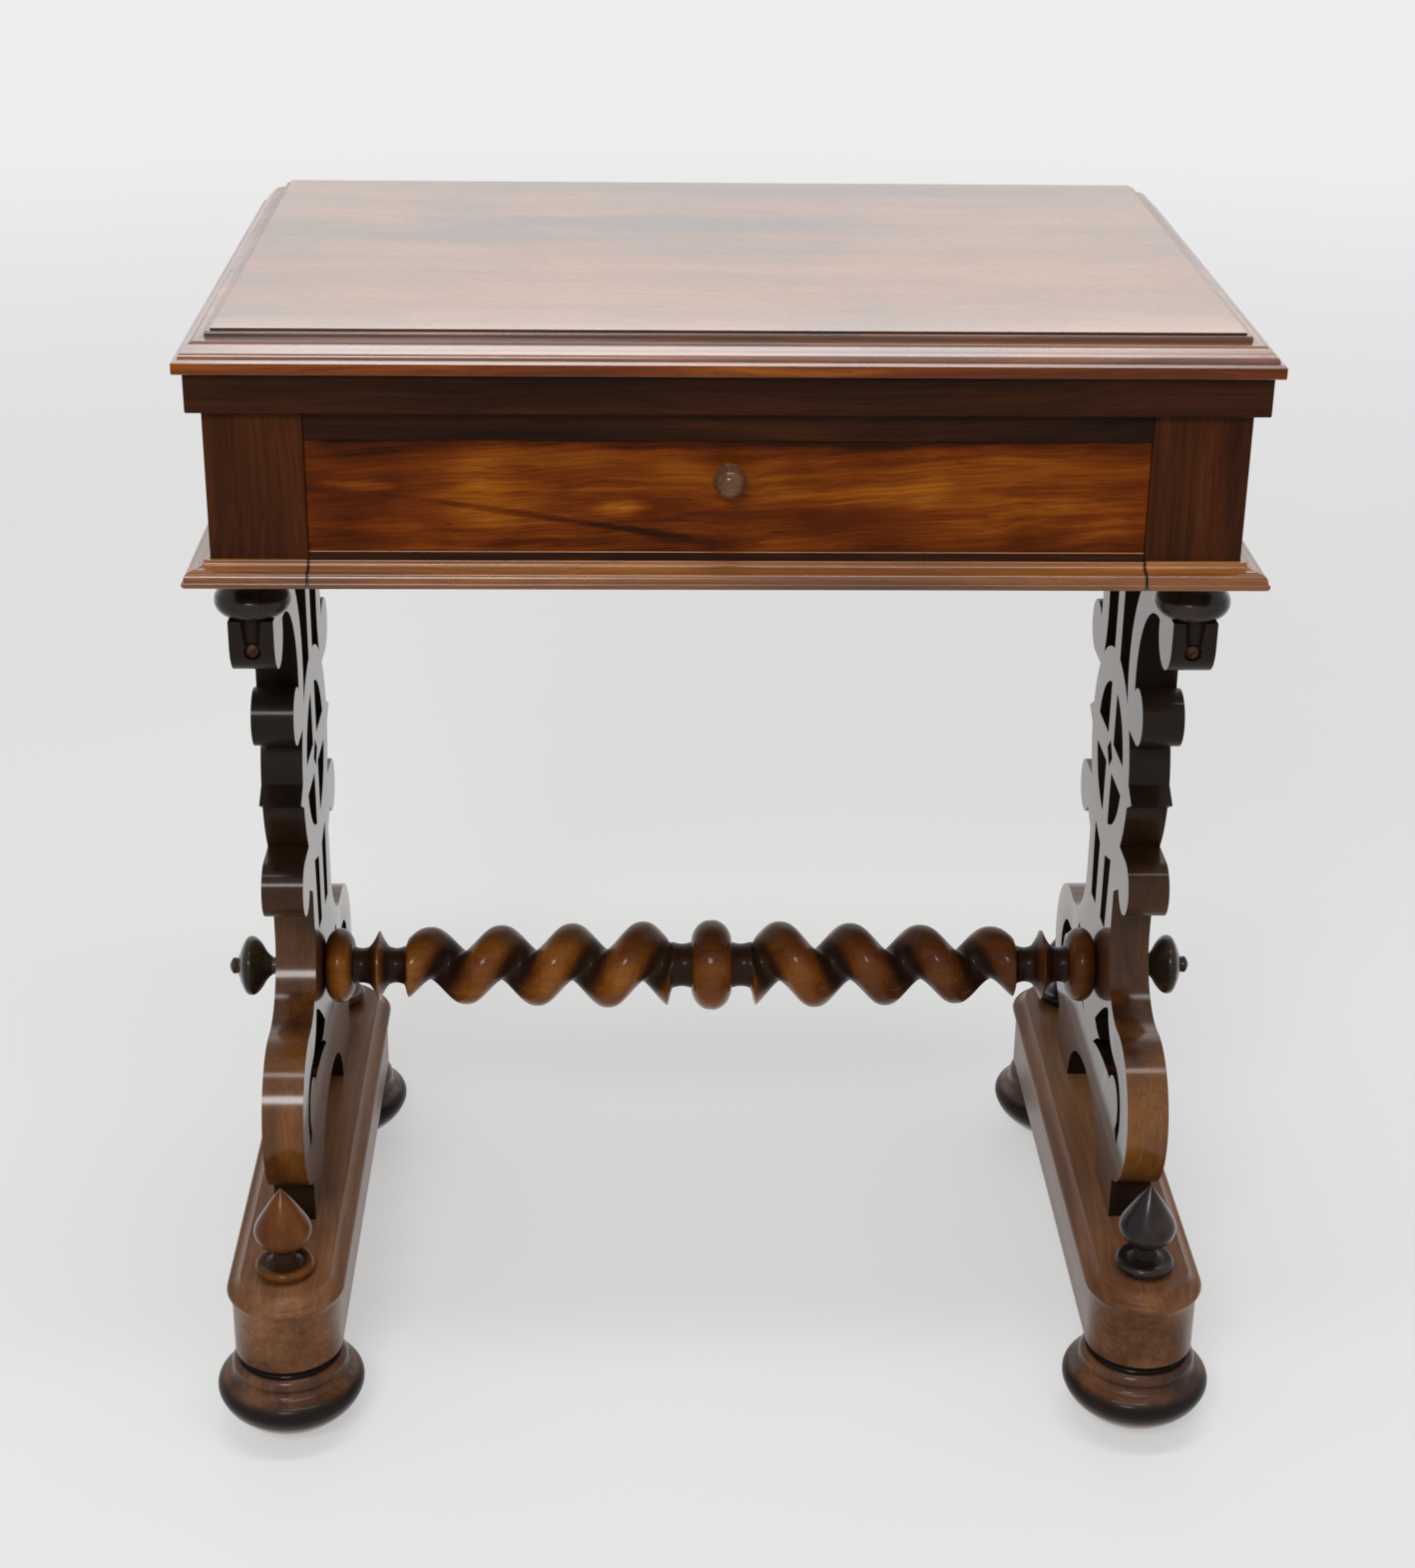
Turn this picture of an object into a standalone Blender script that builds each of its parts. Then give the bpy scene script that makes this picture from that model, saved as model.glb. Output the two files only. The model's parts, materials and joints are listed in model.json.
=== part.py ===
"""Fold-over games table on two fretwork end supports joined by a barley-twist stretcher.

The top is two hinged leaves that swivel on the case and unfold; the case holds one drawer, and the bun
feet hide small castors. Units are metres, +Z is up, the drawer faces -Y and the origin is on the floor
under the middle of the table.
"""

import math

import bmesh
import bpy
from mathutils import Matrix, Vector

# Fits: the gap between pieces that touch, and the gap round pieces that turn or slide.
SEAT = 0.0003
RUNNING_GAP = 0.0005

# How far a cutter runs on past the face that it opens.
CUT_PAST = 0.01

# Top leaves, folded one on the other; the upper one has the moulded edge.
TOP_WIDTH = 0.600
TOP_DEPTH = 0.406
UPPER_LEAF_THICK = 0.021
LOWER_LEAF_THICK = 0.022
LEAF_STEP = 0.005
LEAF_ARRIS = 0.0006

# Moulded edge of the upper leaf, from the flat field down to the square edge.
FIELD_INSET = 0.0195
FIELD_DROP = 0.0009
BEAD_WIDTH = 0.0030
BEAD_FALL = 0.0003
BEAD_DROP = 0.0021
EDGE_FACE = 0.0062
EDGE_ROUND = 0.0030
OGEE_STEPS = 7

# Playing surface: a baize lining let into the meeting face of each leaf.
BAIZE_BORDER = 0.032
BAIZE_RECESS = 0.0012
BAIZE_THICK = 0.0008

# Butt hinges of the fold, let into the meeting faces at the back edge.
HINGE_SETBACK = 0.095
HINGE_LENGTH = 0.050
HINGE_PLATE_WIDTH = 0.020
HINGE_PLATE_THICK = 0.0014
KNUCKLE_RADIUS = 0.0029
HINGE_PIN_RADIUS = 0.0012
MIDDLE_KNUCKLE = 0.018

# Swivel of the top: a bolt through the pivot rail.
PIVOT_RADIUS = 0.005
PIVOT_DEPTH = 0.011
PIVOT_HEAD_RADIUS = 0.011
PIVOT_HEAD_THICK = 0.003
WASHER_RADIUS = 0.014
WASHER_THICK = 0.0015

# Case under the top, set back from the top's edges.
CASE_SETBACK_SIDES = 0.0125
CASE_SETBACK_ENDS = 0.014
CASE_HEIGHT = 0.0985
STILE_WIDTH = 0.0545
STILE_DEPTH = 0.022
SIDE_THICK = 0.018
BACK_THICK = 0.018
DUST_BOARD_THICK = 0.009
TOP_RAIL_HEIGHT = 0.0165
PIVOT_RAIL_WIDTH = 0.080
PIVOT_RAIL_THICK = 0.0155
GUIDE_HEIGHT = 0.024

# Moulding round the foot of the case; the middle of its front length rides on the drawer.
MOULDING_HEIGHT = 0.0135
MOULDING_OUT = 0.0145
MOULDING_ROUND = 0.0038
MOULDING_FILLET = 0.0028
DRAWER_STRIP = 0.0050

# Drawer.
DRAWER_BACK_GAP = 0.015
DRAWER_FRONT_THICK = 0.018
DRAWER_SIDE_THICK = 0.010
DRAWER_SIDE_HEIGHT = 0.060
DRAWER_BACK_THICK = 0.010
DRAWER_BOTTOM_THICK = 0.006
DRAWER_BOTTOM_RISE = 0.007
KNOB_RADIUS = 0.0092
KNOB_LENGTH = 0.020
KNOB_BELOW_TOP = 0.0195

# Fretwork end supports: distances out from the centre line and heights above their feet.
SUPPORT_HEIGHT = 0.464
SUPPORT_THICK = 0.026
SUPPORT_INSET = 0.003
HEAD_RAIL_GAP = 0.0038
HEAD_RAIL_THICK = 0.022
HOOK_SETBACK = 0.026
HOOK_WIDTH = 0.040
HOOK_DROP = 0.035
HOOK_NECK = 0.012
STRAP_WIDTH = 0.024
STRAP_LAP = 0.0046
RING_HEIGHT = 0.279
RING_OUTER = 0.070
RING_INNER = 0.047
BAR_HALF = 0.010
DIAMOND_HALF = 0.0095
SPUR_OUT = 0.084
SPUR_HALF = 0.008
LOBE_OUT = 0.080
LOBE_RISE = 0.0585
LOBE_RADIUS = 0.018
STEM_HALF = 0.049
SLOT_TOP_HALF = 0.031
SLOT_FOOT_HALF = 0.027
SLOT_FOOT = 0.164
FLARE_RADIUS = 0.045
VOLUTE_OUT = 0.106
VOLUTE_HEIGHT = 0.077
VOLUTE_RADIUS = 0.050
PAD_OUTER = 0.119
PAD_INNER = 0.066
FOOT_ARCH_HEIGHT = 0.042
EYE_BACK = 0.005
EYE_DROP = 0.002
SLIT_OUTER = 0.028
SLIT_INNER = 0.018
LEAF_CREST = 0.048
TAIL_HALF = 0.020
TAIL_RISE = 0.018

# Bosses that carry the case on the hooks.
BOSS_SETBACK = 0.017
BOSS_RADIUS = 0.0222
BOSS_HEIGHT = 0.0335
BOSS_FACE_RADIUS = 0.0155

# Stretcher: a turned bar with a twist on each side of its middle bead.
STRETCHER_RISE = 0.1233
TENON_RADIUS = 0.010
END_BEAD_RADIUS = 0.025
END_BEAD_HALF = 0.0095
END_NECK_RADIUS = 0.0128
END_NECK_LENGTH = 0.010
COLLAR_RADIUS = 0.023
COLLAR_HALF = 0.0065
MIDDLE_BEAD_RADIUS = 0.0305
MIDDLE_BEAD_HALF = 0.0135
MIDDLE_NECK_RADIUS = 0.0155
MIDDLE_NECK_LENGTH = 0.0125
TWIST_PITCH = 0.0475
TWIST_END_RADIUS = 0.0253
TWIST_MIDDLE_RADIUS = 0.0298
TWIST_END_GROOVE = 0.0160
TWIST_MIDDLE_GROOVE = 0.0188
TWIST_LEAD = 0.004
GROOVE_POWER = 2
TWIST_STATIONS_A_TURN = 10
STRETCHER_SIDES = 12

# Mushroom knobs outside the stretcher's ends.
END_KNOB_RADIUS = 0.020
END_KNOB_LENGTH = 0.038
END_KNOB_NECK = 0.0058
END_KNOB_SPIGOT = 0.004
END_KNOB_SPIGOT_LENGTH = 0.014

# Runners under the supports.
RUNNER_HEIGHT = 0.053
RUNNER_HALF_WIDTH = 0.034
RUNNER_LIP = 0.0030
RUNNER_LIP_HEIGHT = 0.015
FOOT_SETBACK = 0.0105
RUNNER_END_STEPS = 8

# Finials on the runners' ends.
FINIAL_HEIGHT = 0.062
FINIAL_BULB_RADIUS = 0.018
FINIAL_FLANGE_RADIUS = 0.020
FINIAL_NECK_RADIUS = 0.007
FINIAL_SPIGOT_RADIUS = 0.005
FINIAL_SPIGOT_LENGTH = 0.012

# Bun feet with a hollow for the castor.
FOOT_LIFT = 0.008
FOOT_HEIGHT = 0.052
FOOT_RADIUS = 0.0465
FOOT_NECK_RADIUS = 0.0305
FOOT_COLLAR_RADIUS = 0.0375
FOOT_SOLE_RADIUS = 0.0260
FOOT_SPIGOT_RADIUS = 0.010
FOOT_SPIGOT_LENGTH = 0.018

# Castors hidden in the feet.
CASTOR_HOLLOW_RADIUS = 0.020
CASTOR_HOLLOW_DEPTH = 0.022
CASTOR_PLATE_RADIUS = 0.017
CASTOR_PLATE_THICK = 0.003
CASTOR_PIN_RADIUS = 0.003
CASTOR_PIN_LENGTH = 0.014
CASTOR_TRAIL = 0.006
CASTOR_CHEEK_THICK = 0.002
CASTOR_CHEEK_WIDTH = 0.007
CASTOR_AXLE_RADIUS = 0.0018
WHEEL_RADIUS = 0.0095
WHEEL_WIDTH = 0.011
WHEEL_EASE = 0.0005

TURNED_STEPS = 16
SMALL_STEPS = 12

# Levels, from the floor up.
FOOT_TOP = FOOT_LIFT + FOOT_HEIGHT
RUNNER_BOTTOM = FOOT_TOP + SEAT
RUNNER_TOP = RUNNER_BOTTOM + RUNNER_HEIGHT
SUPPORT_FOOT = RUNNER_TOP + SEAT
SUPPORT_TOP = SUPPORT_FOOT + SUPPORT_HEIGHT
CASE_BOTTOM = SUPPORT_TOP + SEAT
CASE_TOP = CASE_BOTTOM + CASE_HEIGHT
LOWER_LEAF_BOTTOM = CASE_TOP + RUNNING_GAP
LOWER_LEAF_TOP = LOWER_LEAF_BOTTOM + LOWER_LEAF_THICK
UPPER_LEAF_BOTTOM = LOWER_LEAF_TOP + RUNNING_GAP
UPPER_LEAF_TOP = UPPER_LEAF_BOTTOM + UPPER_LEAF_THICK
DUST_BOARD_TOP = CASE_BOTTOM + DUST_BOARD_THICK
DRAWER_TOP = CASE_TOP - TOP_RAIL_HEIGHT - SEAT
STRETCHER_HEIGHT = SUPPORT_FOOT + STRETCHER_RISE
HOOK_SEAT = SUPPORT_HEIGHT - BOSS_HEIGHT - SEAT

# Places across and along the table.
BACK_EDGE = TOP_DEPTH / 2
HINGE_OUT = TOP_WIDTH / 2 - HINGE_SETBACK
CASE_SIDE = TOP_WIDTH / 2 - CASE_SETBACK_SIDES
CASE_BACK = TOP_DEPTH / 2 - CASE_SETBACK_ENDS
CASE_FRONT = -CASE_BACK
SIDE_INNER = CASE_SIDE - SIDE_THICK
OPENING_HALF = CASE_SIDE - STILE_WIDTH
STILE_BACK = CASE_FRONT + STILE_DEPTH
BACK_INNER = CASE_BACK - BACK_THICK
DRAWER_HALF = OPENING_HALF - SEAT
DRAWER_FRONT_BACK = CASE_FRONT + DRAWER_FRONT_THICK
DRAWER_BACK = BACK_INNER - DRAWER_BACK_GAP
SUPPORT_OUT = CASE_SIDE - SUPPORT_INSET - SUPPORT_THICK / 2
SUPPORT_INNER = SUPPORT_OUT - SUPPORT_THICK / 2
SUPPORT_OUTER = SUPPORT_OUT + SUPPORT_THICK / 2
HOOK_FRONT = CASE_BACK - HOOK_SETBACK
HOOK_INNER = HOOK_FRONT - HOOK_WIDTH
BOSS_OUT = HOOK_FRONT - BOSS_SETBACK
HEAD_RAIL_HALF = BOSS_OUT - BOSS_RADIUS - HEAD_RAIL_GAP
FOOT_OUT = CASE_BACK - FOOT_SETBACK
PIVOT = Vector((BACK_EDGE / 2, BACK_EDGE / 2, LOWER_LEAF_BOTTOM))
FOLD_LINE = Vector((0.0, BACK_EDGE + SEAT, LOWER_LEAF_TOP + RUNNING_GAP / 2))
HOLLOW_TOP = FOOT_LIFT + CASTOR_HOLLOW_DEPTH

SIDES = (("left", -1), ("right", 1))
ENDS = (("front", -1), ("back", 1))


def clear_scene():
    """Removes every object of the start-up scene."""
    for obj in list(bpy.data.objects):
        bpy.data.objects.remove(obj, do_unlink=True)


def new_collection(name, hidden=False):
    """Adds a collection to the scene."""
    collection = bpy.data.collections.new(name)
    collection.hide_render = hidden
    bpy.context.scene.collection.children.link(collection)
    return collection


def new_material(name, colour, roughness, metallic=0.0):
    """Makes a Principled material of one colour."""
    finish = bpy.data.materials.new(name)
    finish.use_nodes = True
    shader = finish.node_tree.nodes["Principled BSDF"]
    shader.inputs["Base Color"].default_value = (*colour, 1.0)
    shader.inputs["Roughness"].default_value = roughness
    shader.inputs["Metallic"].default_value = metallic
    finish.diffuse_color = (*colour, 1.0)
    return finish


clear_scene()
PARTS = new_collection("games_table")
CUTTERS = new_collection("cutters", hidden=True)
ROSEWOOD = new_material("rosewood", (0.150, 0.058, 0.026), 0.28)
DARK_ROSEWOOD = new_material("dark_rosewood", (0.055, 0.024, 0.014), 0.30)
FIGURED_ROSEWOOD = new_material("figured_rosewood", (0.230, 0.088, 0.032), 0.26)
EBONISED = new_material("ebonised_wood", (0.022, 0.017, 0.015), 0.25)
LINING_WOOD = new_material("lining_wood", (0.380, 0.250, 0.130), 0.60)
BRASS = new_material("brass", (0.550, 0.390, 0.140), 0.32, 1.0)
IRON = new_material("iron", (0.090, 0.085, 0.080), 0.50, 1.0)
BAIZE = new_material("baize", (0.020, 0.110, 0.050), 0.95)


def joint_frame(name, location):
    """An empty on a joint's axis, for the pieces that move about it."""
    empty = bpy.data.objects.new(name, None)
    empty.empty_display_size = 0.03
    empty.location = location
    PARTS.objects.link(empty)
    return empty


def add_object(name, data, finish, location=(0, 0, 0), frame=None):
    """Links a piece at a world location; a piece with a joint frame keeps that location under it."""
    obj = bpy.data.objects.new(name, data)
    if finish:
        data.materials.clear()
        data.materials.append(finish)
        PARTS.objects.link(obj)
    else:
        obj.hide_render = True
        obj.display_type = "WIRE"
        CUTTERS.objects.link(obj)
    obj.location = location
    if frame:
        obj.parent = frame
        obj.matrix_parent_inverse = Matrix.Translation(-frame.location)
    return obj


def mesh_from(name, bm):
    """Turns a bmesh into a mesh with its faces pointing out."""
    bmesh.ops.recalc_face_normals(bm, faces=bm.faces)
    mesh = bpy.data.meshes.new(name)
    bm.to_mesh(mesh)
    bm.free()
    return mesh


def box(name, finish, across, along, up, frame=None, arris=0.0):
    """A block between two values on each axis, with its edges eased by the arris."""
    spans = (across, along, up)
    size = [high - low for low, high in spans]
    centre = [(low + high) / 2 for low, high in spans]
    bm = bmesh.new()
    bmesh.ops.create_cube(bm, size=1.0, matrix=Matrix.Diagonal((*size, 1.0)))
    obj = add_object(name, mesh_from(name, bm), finish, centre, frame)
    if arris:
        bevel = obj.modifiers.new("arris", "BEVEL")
        bevel.width = arris
        bevel.segments = 1
    return obj


def rod(name, radius, start, length, axis, steps):
    """A cylindrical helper that starts at a point and runs along +X or +Z."""
    bm = bmesh.new()
    middle = Matrix.Translation((0, 0, length / 2))
    bmesh.ops.create_cone(
        bm, cap_ends=True, segments=steps, radius1=radius, radius2=radius, depth=length, matrix=middle
    )
    obj = add_object(name, mesh_from(name, bm), None, start)
    if axis == "X":
        obj.rotation_euler = (0, math.pi / 2, 0)
    return obj


def clear_radius(radius, steps):
    """The corner radius of a many-sided hole whose flats clear a round of this radius."""
    return radius / math.cos(math.pi / steps)


def bore(name, radius, start, length, axis="Z"):
    """The cutter of a hole that clears a round of this radius."""
    return rod(name, clear_radius(radius, SMALL_STEPS), start, length, axis, SMALL_STEPS)


def turned(name, finish, profile, location, frame=None, steps=TURNED_STEPS, turn=(0, 0, 0), start=0.0):
    """A turned piece: (radius, height) points from the top of its axis down the outside and back to it."""
    mesh = bpy.data.meshes.new(name)
    points = [(radius * math.cos(start), radius * math.sin(start), height) for radius, height in profile]
    mesh.from_pydata(points, [(i, i + 1) for i in range(len(points) - 1)], [])
    obj = add_object(name, mesh, finish, location, frame)
    obj.rotation_euler = turn
    screw = obj.modifiers.new("lathe", "SCREW")
    screw.steps = steps
    screw.render_steps = steps
    screw.use_merge_vertices = True
    screw.merge_threshold = 0.00001
    screw.use_smooth_shade = True
    return obj


def loft(name, finish, rings, location=(0, 0, 0), frame=None):
    """A closed solid through rings of equally many points, capped at both ends."""
    bm = bmesh.new()
    loops = [[bm.verts.new(point) for point in ring] for ring in rings]
    count = len(rings[0])
    for lower, upper in zip(loops, loops[1:]):
        for i in range(count):
            j = (i + 1) % count
            bm.faces.new((lower[i], lower[j], upper[j], upper[i]))
    bm.faces.new(reversed(loops[0]))
    bm.faces.new(loops[-1])
    return add_object(name, mesh_from(name, bm), finish, location, frame)


def boolean(obj, other, operation):
    """Adds a Boolean with another object to a piece."""
    modifier = obj.modifiers.new(f"{operation.lower()}_{other.name}", "BOOLEAN")
    modifier.operation = operation
    modifier.object = other


def cut(obj, *cutters):
    """Cuts pieces out of an object."""
    for cutter in cutters:
        boolean(obj, cutter, "DIFFERENCE")


def join(obj, *others):
    """Joins helper solids onto an object as one body."""
    for other in others:
        boolean(obj, other, "UNION")


def arc(centre, radius, start, end, steps):
    """Points along an arc between two angles in degrees; a falling angle runs clockwise."""
    angles = [math.radians(start + (end - start) * i / steps) for i in range(steps + 1)]
    return [(centre[0] + radius * math.cos(a), centre[1] + radius * math.sin(a)) for a in angles]


def bend(start, control, end, steps=4):
    """Points along a quadratic curve between two points."""
    points = []
    for i in range(steps + 1):
        t = i / steps
        weights = ((1 - t) ** 2, 2 * t * (1 - t), t**2)
        corners = (start, control, end)
        points.append(tuple(sum(w * p[k] for w, p in zip(weights, corners)) for k in (0, 1)))
    return points


def angle_of(centre, point):
    """The direction from a centre to a point, in degrees."""
    return math.degrees(math.atan2(point[1] - centre[1], point[0] - centre[0]))


def circles_meet(centre_a, radius_a, centre_b, radius_b):
    """Where two circles cross, on the left of the line from a to b."""
    apart = math.dist(centre_a, centre_b)
    ahead = (radius_a**2 - radius_b**2 + apart**2) / (2 * apart)
    aside = math.sqrt(radius_a**2 - ahead**2)
    along = [(b - a) / apart for a, b in zip(centre_a, centre_b)]
    return (
        centre_a[0] + ahead * along[0] - aside * along[1],
        centre_a[1] + ahead * along[1] + aside * along[0],
    )


def without_repeats(points):
    """Drops each point that repeats the one before it."""
    kept = [points[0]]
    for point in points[1:]:
        if math.dist(point, kept[-1]) > 1e-6:
            kept.append(point)
    if math.dist(kept[0], kept[-1]) < 1e-6:
        kept.pop()
    return kept


def mirrored(points):
    """The other half of an outline, on the far side of its centre line."""
    return [(-out, up) for out, up in reversed(points)]


def sawn_board(name, finish, outlines, thickness, location):
    """A board sawn to flat outlines that stand in the YZ plane; the first is its edge, the rest are holes."""
    curve = bpy.data.curves.new(name, "CURVE")
    curve.dimensions = "2D"
    curve.fill_mode = "BOTH"
    curve.extrude = thickness / 2
    for outline in outlines:
        points = without_repeats(outline)
        spline = curve.splines.new("POLY")
        spline.points.add(len(points) - 1)
        for slot, point in zip(spline.points, points):
            slot.co = (*point, 0.0, 1.0)
        spline.use_cyclic_u = True
    board = add_object(name, curve, finish, location)
    board.rotation_euler = (math.pi / 2, 0, math.pi / 2)
    return board


# Leaves of the top


def leaf_edge_profile():
    """The upper leaf's moulded edge as (inset, height), from its bottom arris up to the field."""
    bead_top = UPPER_LEAF_THICK - FIELD_DROP
    bead_edge = bead_top - BEAD_FALL
    ogee_top = bead_edge - BEAD_DROP
    ogee_foot = EDGE_FACE + EDGE_ROUND
    ogee_inset = FIELD_INSET - BEAD_WIDTH
    profile = [(0.0, 0.0)]
    profile += arc((EDGE_ROUND, EDGE_FACE), EDGE_ROUND, 180, 90, 3)
    for i in range(1, OGEE_STEPS + 1):
        t = i / OGEE_STEPS
        wave = math.sin(2 * math.pi * t) / (2 * math.pi)
        inset = EDGE_ROUND + (ogee_inset - EDGE_ROUND) * t
        profile.append((inset, ogee_foot + (ogee_top - ogee_foot) * (t + 0.8 * wave)))
    return profile + [(ogee_inset, bead_edge), (FIELD_INSET, bead_top), (FIELD_INSET, UPPER_LEAF_THICK)]


def leaf_ring(inset, height):
    """One level of the upper leaf: moulded on three sides and cut square at the hinged back."""
    side = TOP_WIDTH / 2 - inset
    front = -TOP_DEPTH / 2 + inset
    outline = ((-side, front), (side, front), (side, BACK_EDGE), (-side, BACK_EDGE))
    return [(x, y, height) for x, y in outline]


def hinge_cuts(leaf, facing):
    """Recesses in a leaf's meeting face for both hinges; facing is 1 where that face looks up."""
    face = LOWER_LEAF_TOP if facing > 0 else UPPER_LEAF_BOTTOM
    for side, sign in SIDES:
        middle = sign * HINGE_OUT
        across = (middle - HINGE_LENGTH / 2 - SEAT, middle + HINGE_LENGTH / 2 + SEAT)
        depths = (
            ("plate", HINGE_PLATE_WIDTH + SEAT, HINGE_PLATE_THICK + SEAT),
            ("knuckle", KNUCKLE_RADIUS + RUNNING_GAP, KNUCKLE_RADIUS + RUNNING_GAP),
        )
        for kind, width, depth in depths:
            up = sorted((face + facing * CUT_PAST, face - facing * depth))
            along = (BACK_EDGE - width, BACK_EDGE + CUT_PAST)
            cut(leaf, box(f"{leaf.name}_{kind}_cut_{side}", None, across, along, up))


def upper_leaf(frame):
    """The folding leaf with its ogee edge, lined underneath."""
    rings = [leaf_ring(inset, height) for inset, height in leaf_edge_profile()]
    leaf = loft("upper_leaf", ROSEWOOD, rings, (0, 0, UPPER_LEAF_BOTTOM), frame)
    recess = (UPPER_LEAF_BOTTOM - CUT_PAST, UPPER_LEAF_BOTTOM + BAIZE_RECESS)
    cut(leaf, box("upper_baize_cut", None, *lining_span(), recess))
    hinge_cuts(leaf, -1)
    lift = UPPER_LEAF_BOTTOM + BAIZE_RECESS - SEAT
    box("baize_upper", BAIZE, *lining_span(SEAT), (lift - BAIZE_THICK, lift), frame)


def lower_leaf(frame):
    """The plain square-edged leaf that swivels on the case, lined on top."""
    side = TOP_WIDTH / 2 - LEAF_STEP
    along = (-TOP_DEPTH / 2 + LEAF_STEP, BACK_EDGE)
    up = (LOWER_LEAF_BOTTOM, LOWER_LEAF_TOP)
    leaf = box("lower_leaf", DARK_ROSEWOOD, (-side, side), along, up, frame, LEAF_ARRIS)
    recess = (LOWER_LEAF_TOP - BAIZE_RECESS, LOWER_LEAF_TOP + CUT_PAST)
    cut(leaf, box("lower_baize_cut", None, *lining_span(), recess))
    hinge_cuts(leaf, 1)
    start = (PIVOT.x, PIVOT.y, LOWER_LEAF_BOTTOM - CUT_PAST)
    depth = CUT_PAST + PIVOT_DEPTH + SEAT
    cut(leaf, bore("pivot_socket_cut", PIVOT_RADIUS + SEAT, start, depth))
    floor = LOWER_LEAF_TOP - BAIZE_RECESS + SEAT
    box("baize_lower", BAIZE, *lining_span(SEAT), (floor, floor + BAIZE_THICK), frame)


def lining_span(gap=0.0):
    """The baize recess across and along the leaves, drawn in by a gap."""
    side = TOP_WIDTH / 2 - LEAF_STEP - BAIZE_BORDER - gap
    front = -TOP_DEPTH / 2 + LEAF_STEP + BAIZE_BORDER + gap
    return (-side, side), (front, BACK_EDGE - BAIZE_BORDER - gap)


def knuckle(name, start, end, radius):
    """A solid length of hinge barrel on the fold line."""
    return rod(name, radius, (start, FOLD_LINE.y, FOLD_LINE.z), end - start, "X", SMALL_STEPS)


def fold_hinges(lower_frame, upper_frame):
    """Two butt hinges: each lower plate holds the outer knuckles and the pin, each upper one the middle."""
    gap = RUNNING_GAP
    for side, sign in SIDES:
        middle = sign * HINGE_OUT
        ends = (middle - HINGE_LENGTH / 2, middle + HINGE_LENGTH / 2)
        inner = (middle - MIDDLE_KNUCKLE / 2, middle + MIDDLE_KNUCKLE / 2)
        along = (BACK_EDGE - HINGE_PLATE_WIDTH, FOLD_LINE.y)
        low = (LOWER_LEAF_TOP - HINGE_PLATE_THICK, LOWER_LEAF_TOP)
        high = (UPPER_LEAF_BOTTOM, UPPER_LEAF_BOTTOM + HINGE_PLATE_THICK)
        lower = box(f"hinge_lower_{side}", BRASS, ends, along, low, lower_frame)
        upper = box(f"hinge_upper_{side}", BRASS, ends, along, high, upper_frame)
        notch = (FOLD_LINE.y - KNUCKLE_RADIUS - gap, FOLD_LINE.y + CUT_PAST)
        tall = (LOWER_LEAF_BOTTOM, UPPER_LEAF_TOP)
        reach = (inner[0] - gap, inner[1] + gap)
        cut(lower, box(f"middle_gap_{side}", None, reach, notch, tall))
        first = knuckle(f"barrel_first_{side}", ends[0], inner[0] - gap, KNUCKLE_RADIUS)
        last = knuckle(f"barrel_last_{side}", inner[1] + gap, ends[1], KNUCKLE_RADIUS)
        pin = knuckle(f"barrel_pin_{side}", ends[0] + gap, ends[1] - gap, HINGE_PIN_RADIUS)
        join(lower, first, last, pin)
        cut(upper, box(f"first_gap_{side}", None, (ends[0] - gap, inner[0]), notch, tall))
        cut(upper, box(f"last_gap_{side}", None, (inner[1], ends[1] + gap), notch, tall))
        join(upper, knuckle(f"barrel_middle_{side}", *inner, KNUCKLE_RADIUS))
        cut(upper, knuckle(f"barrel_bore_{side}", inner[0] - gap, inner[1] + gap, HINGE_PIN_RADIUS + gap))


def swivel_pivot(frame):
    """The bolt that the top turns on, with a washer under the pivot rail."""
    rail_bottom = CASE_TOP - PIVOT_RAIL_THICK
    head_top = rail_bottom - SEAT - WASHER_THICK - SEAT
    top = LOWER_LEAF_BOTTOM + PIVOT_DEPTH
    profile = [(0, top), (PIVOT_RADIUS, top), (PIVOT_RADIUS, head_top), (PIVOT_HEAD_RADIUS, head_top)]
    profile += [(PIVOT_HEAD_RADIUS, head_top - PIVOT_HEAD_THICK), (0, head_top - PIVOT_HEAD_THICK)]
    turned("pivot_bolt", IRON, profile, (PIVOT.x, PIVOT.y, 0), frame, SMALL_STEPS)
    washer_top = rail_bottom - SEAT
    eye = clear_radius(PIVOT_RADIUS + SEAT, SMALL_STEPS)
    ring = [(eye, washer_top), (WASHER_RADIUS, washer_top), (WASHER_RADIUS, washer_top - WASHER_THICK)]
    ring += [(eye, washer_top - WASHER_THICK), (eye, washer_top)]
    turned("pivot_washer", IRON, ring, (PIVOT.x, PIVOT.y, 0), None, SMALL_STEPS)


# Case


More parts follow.
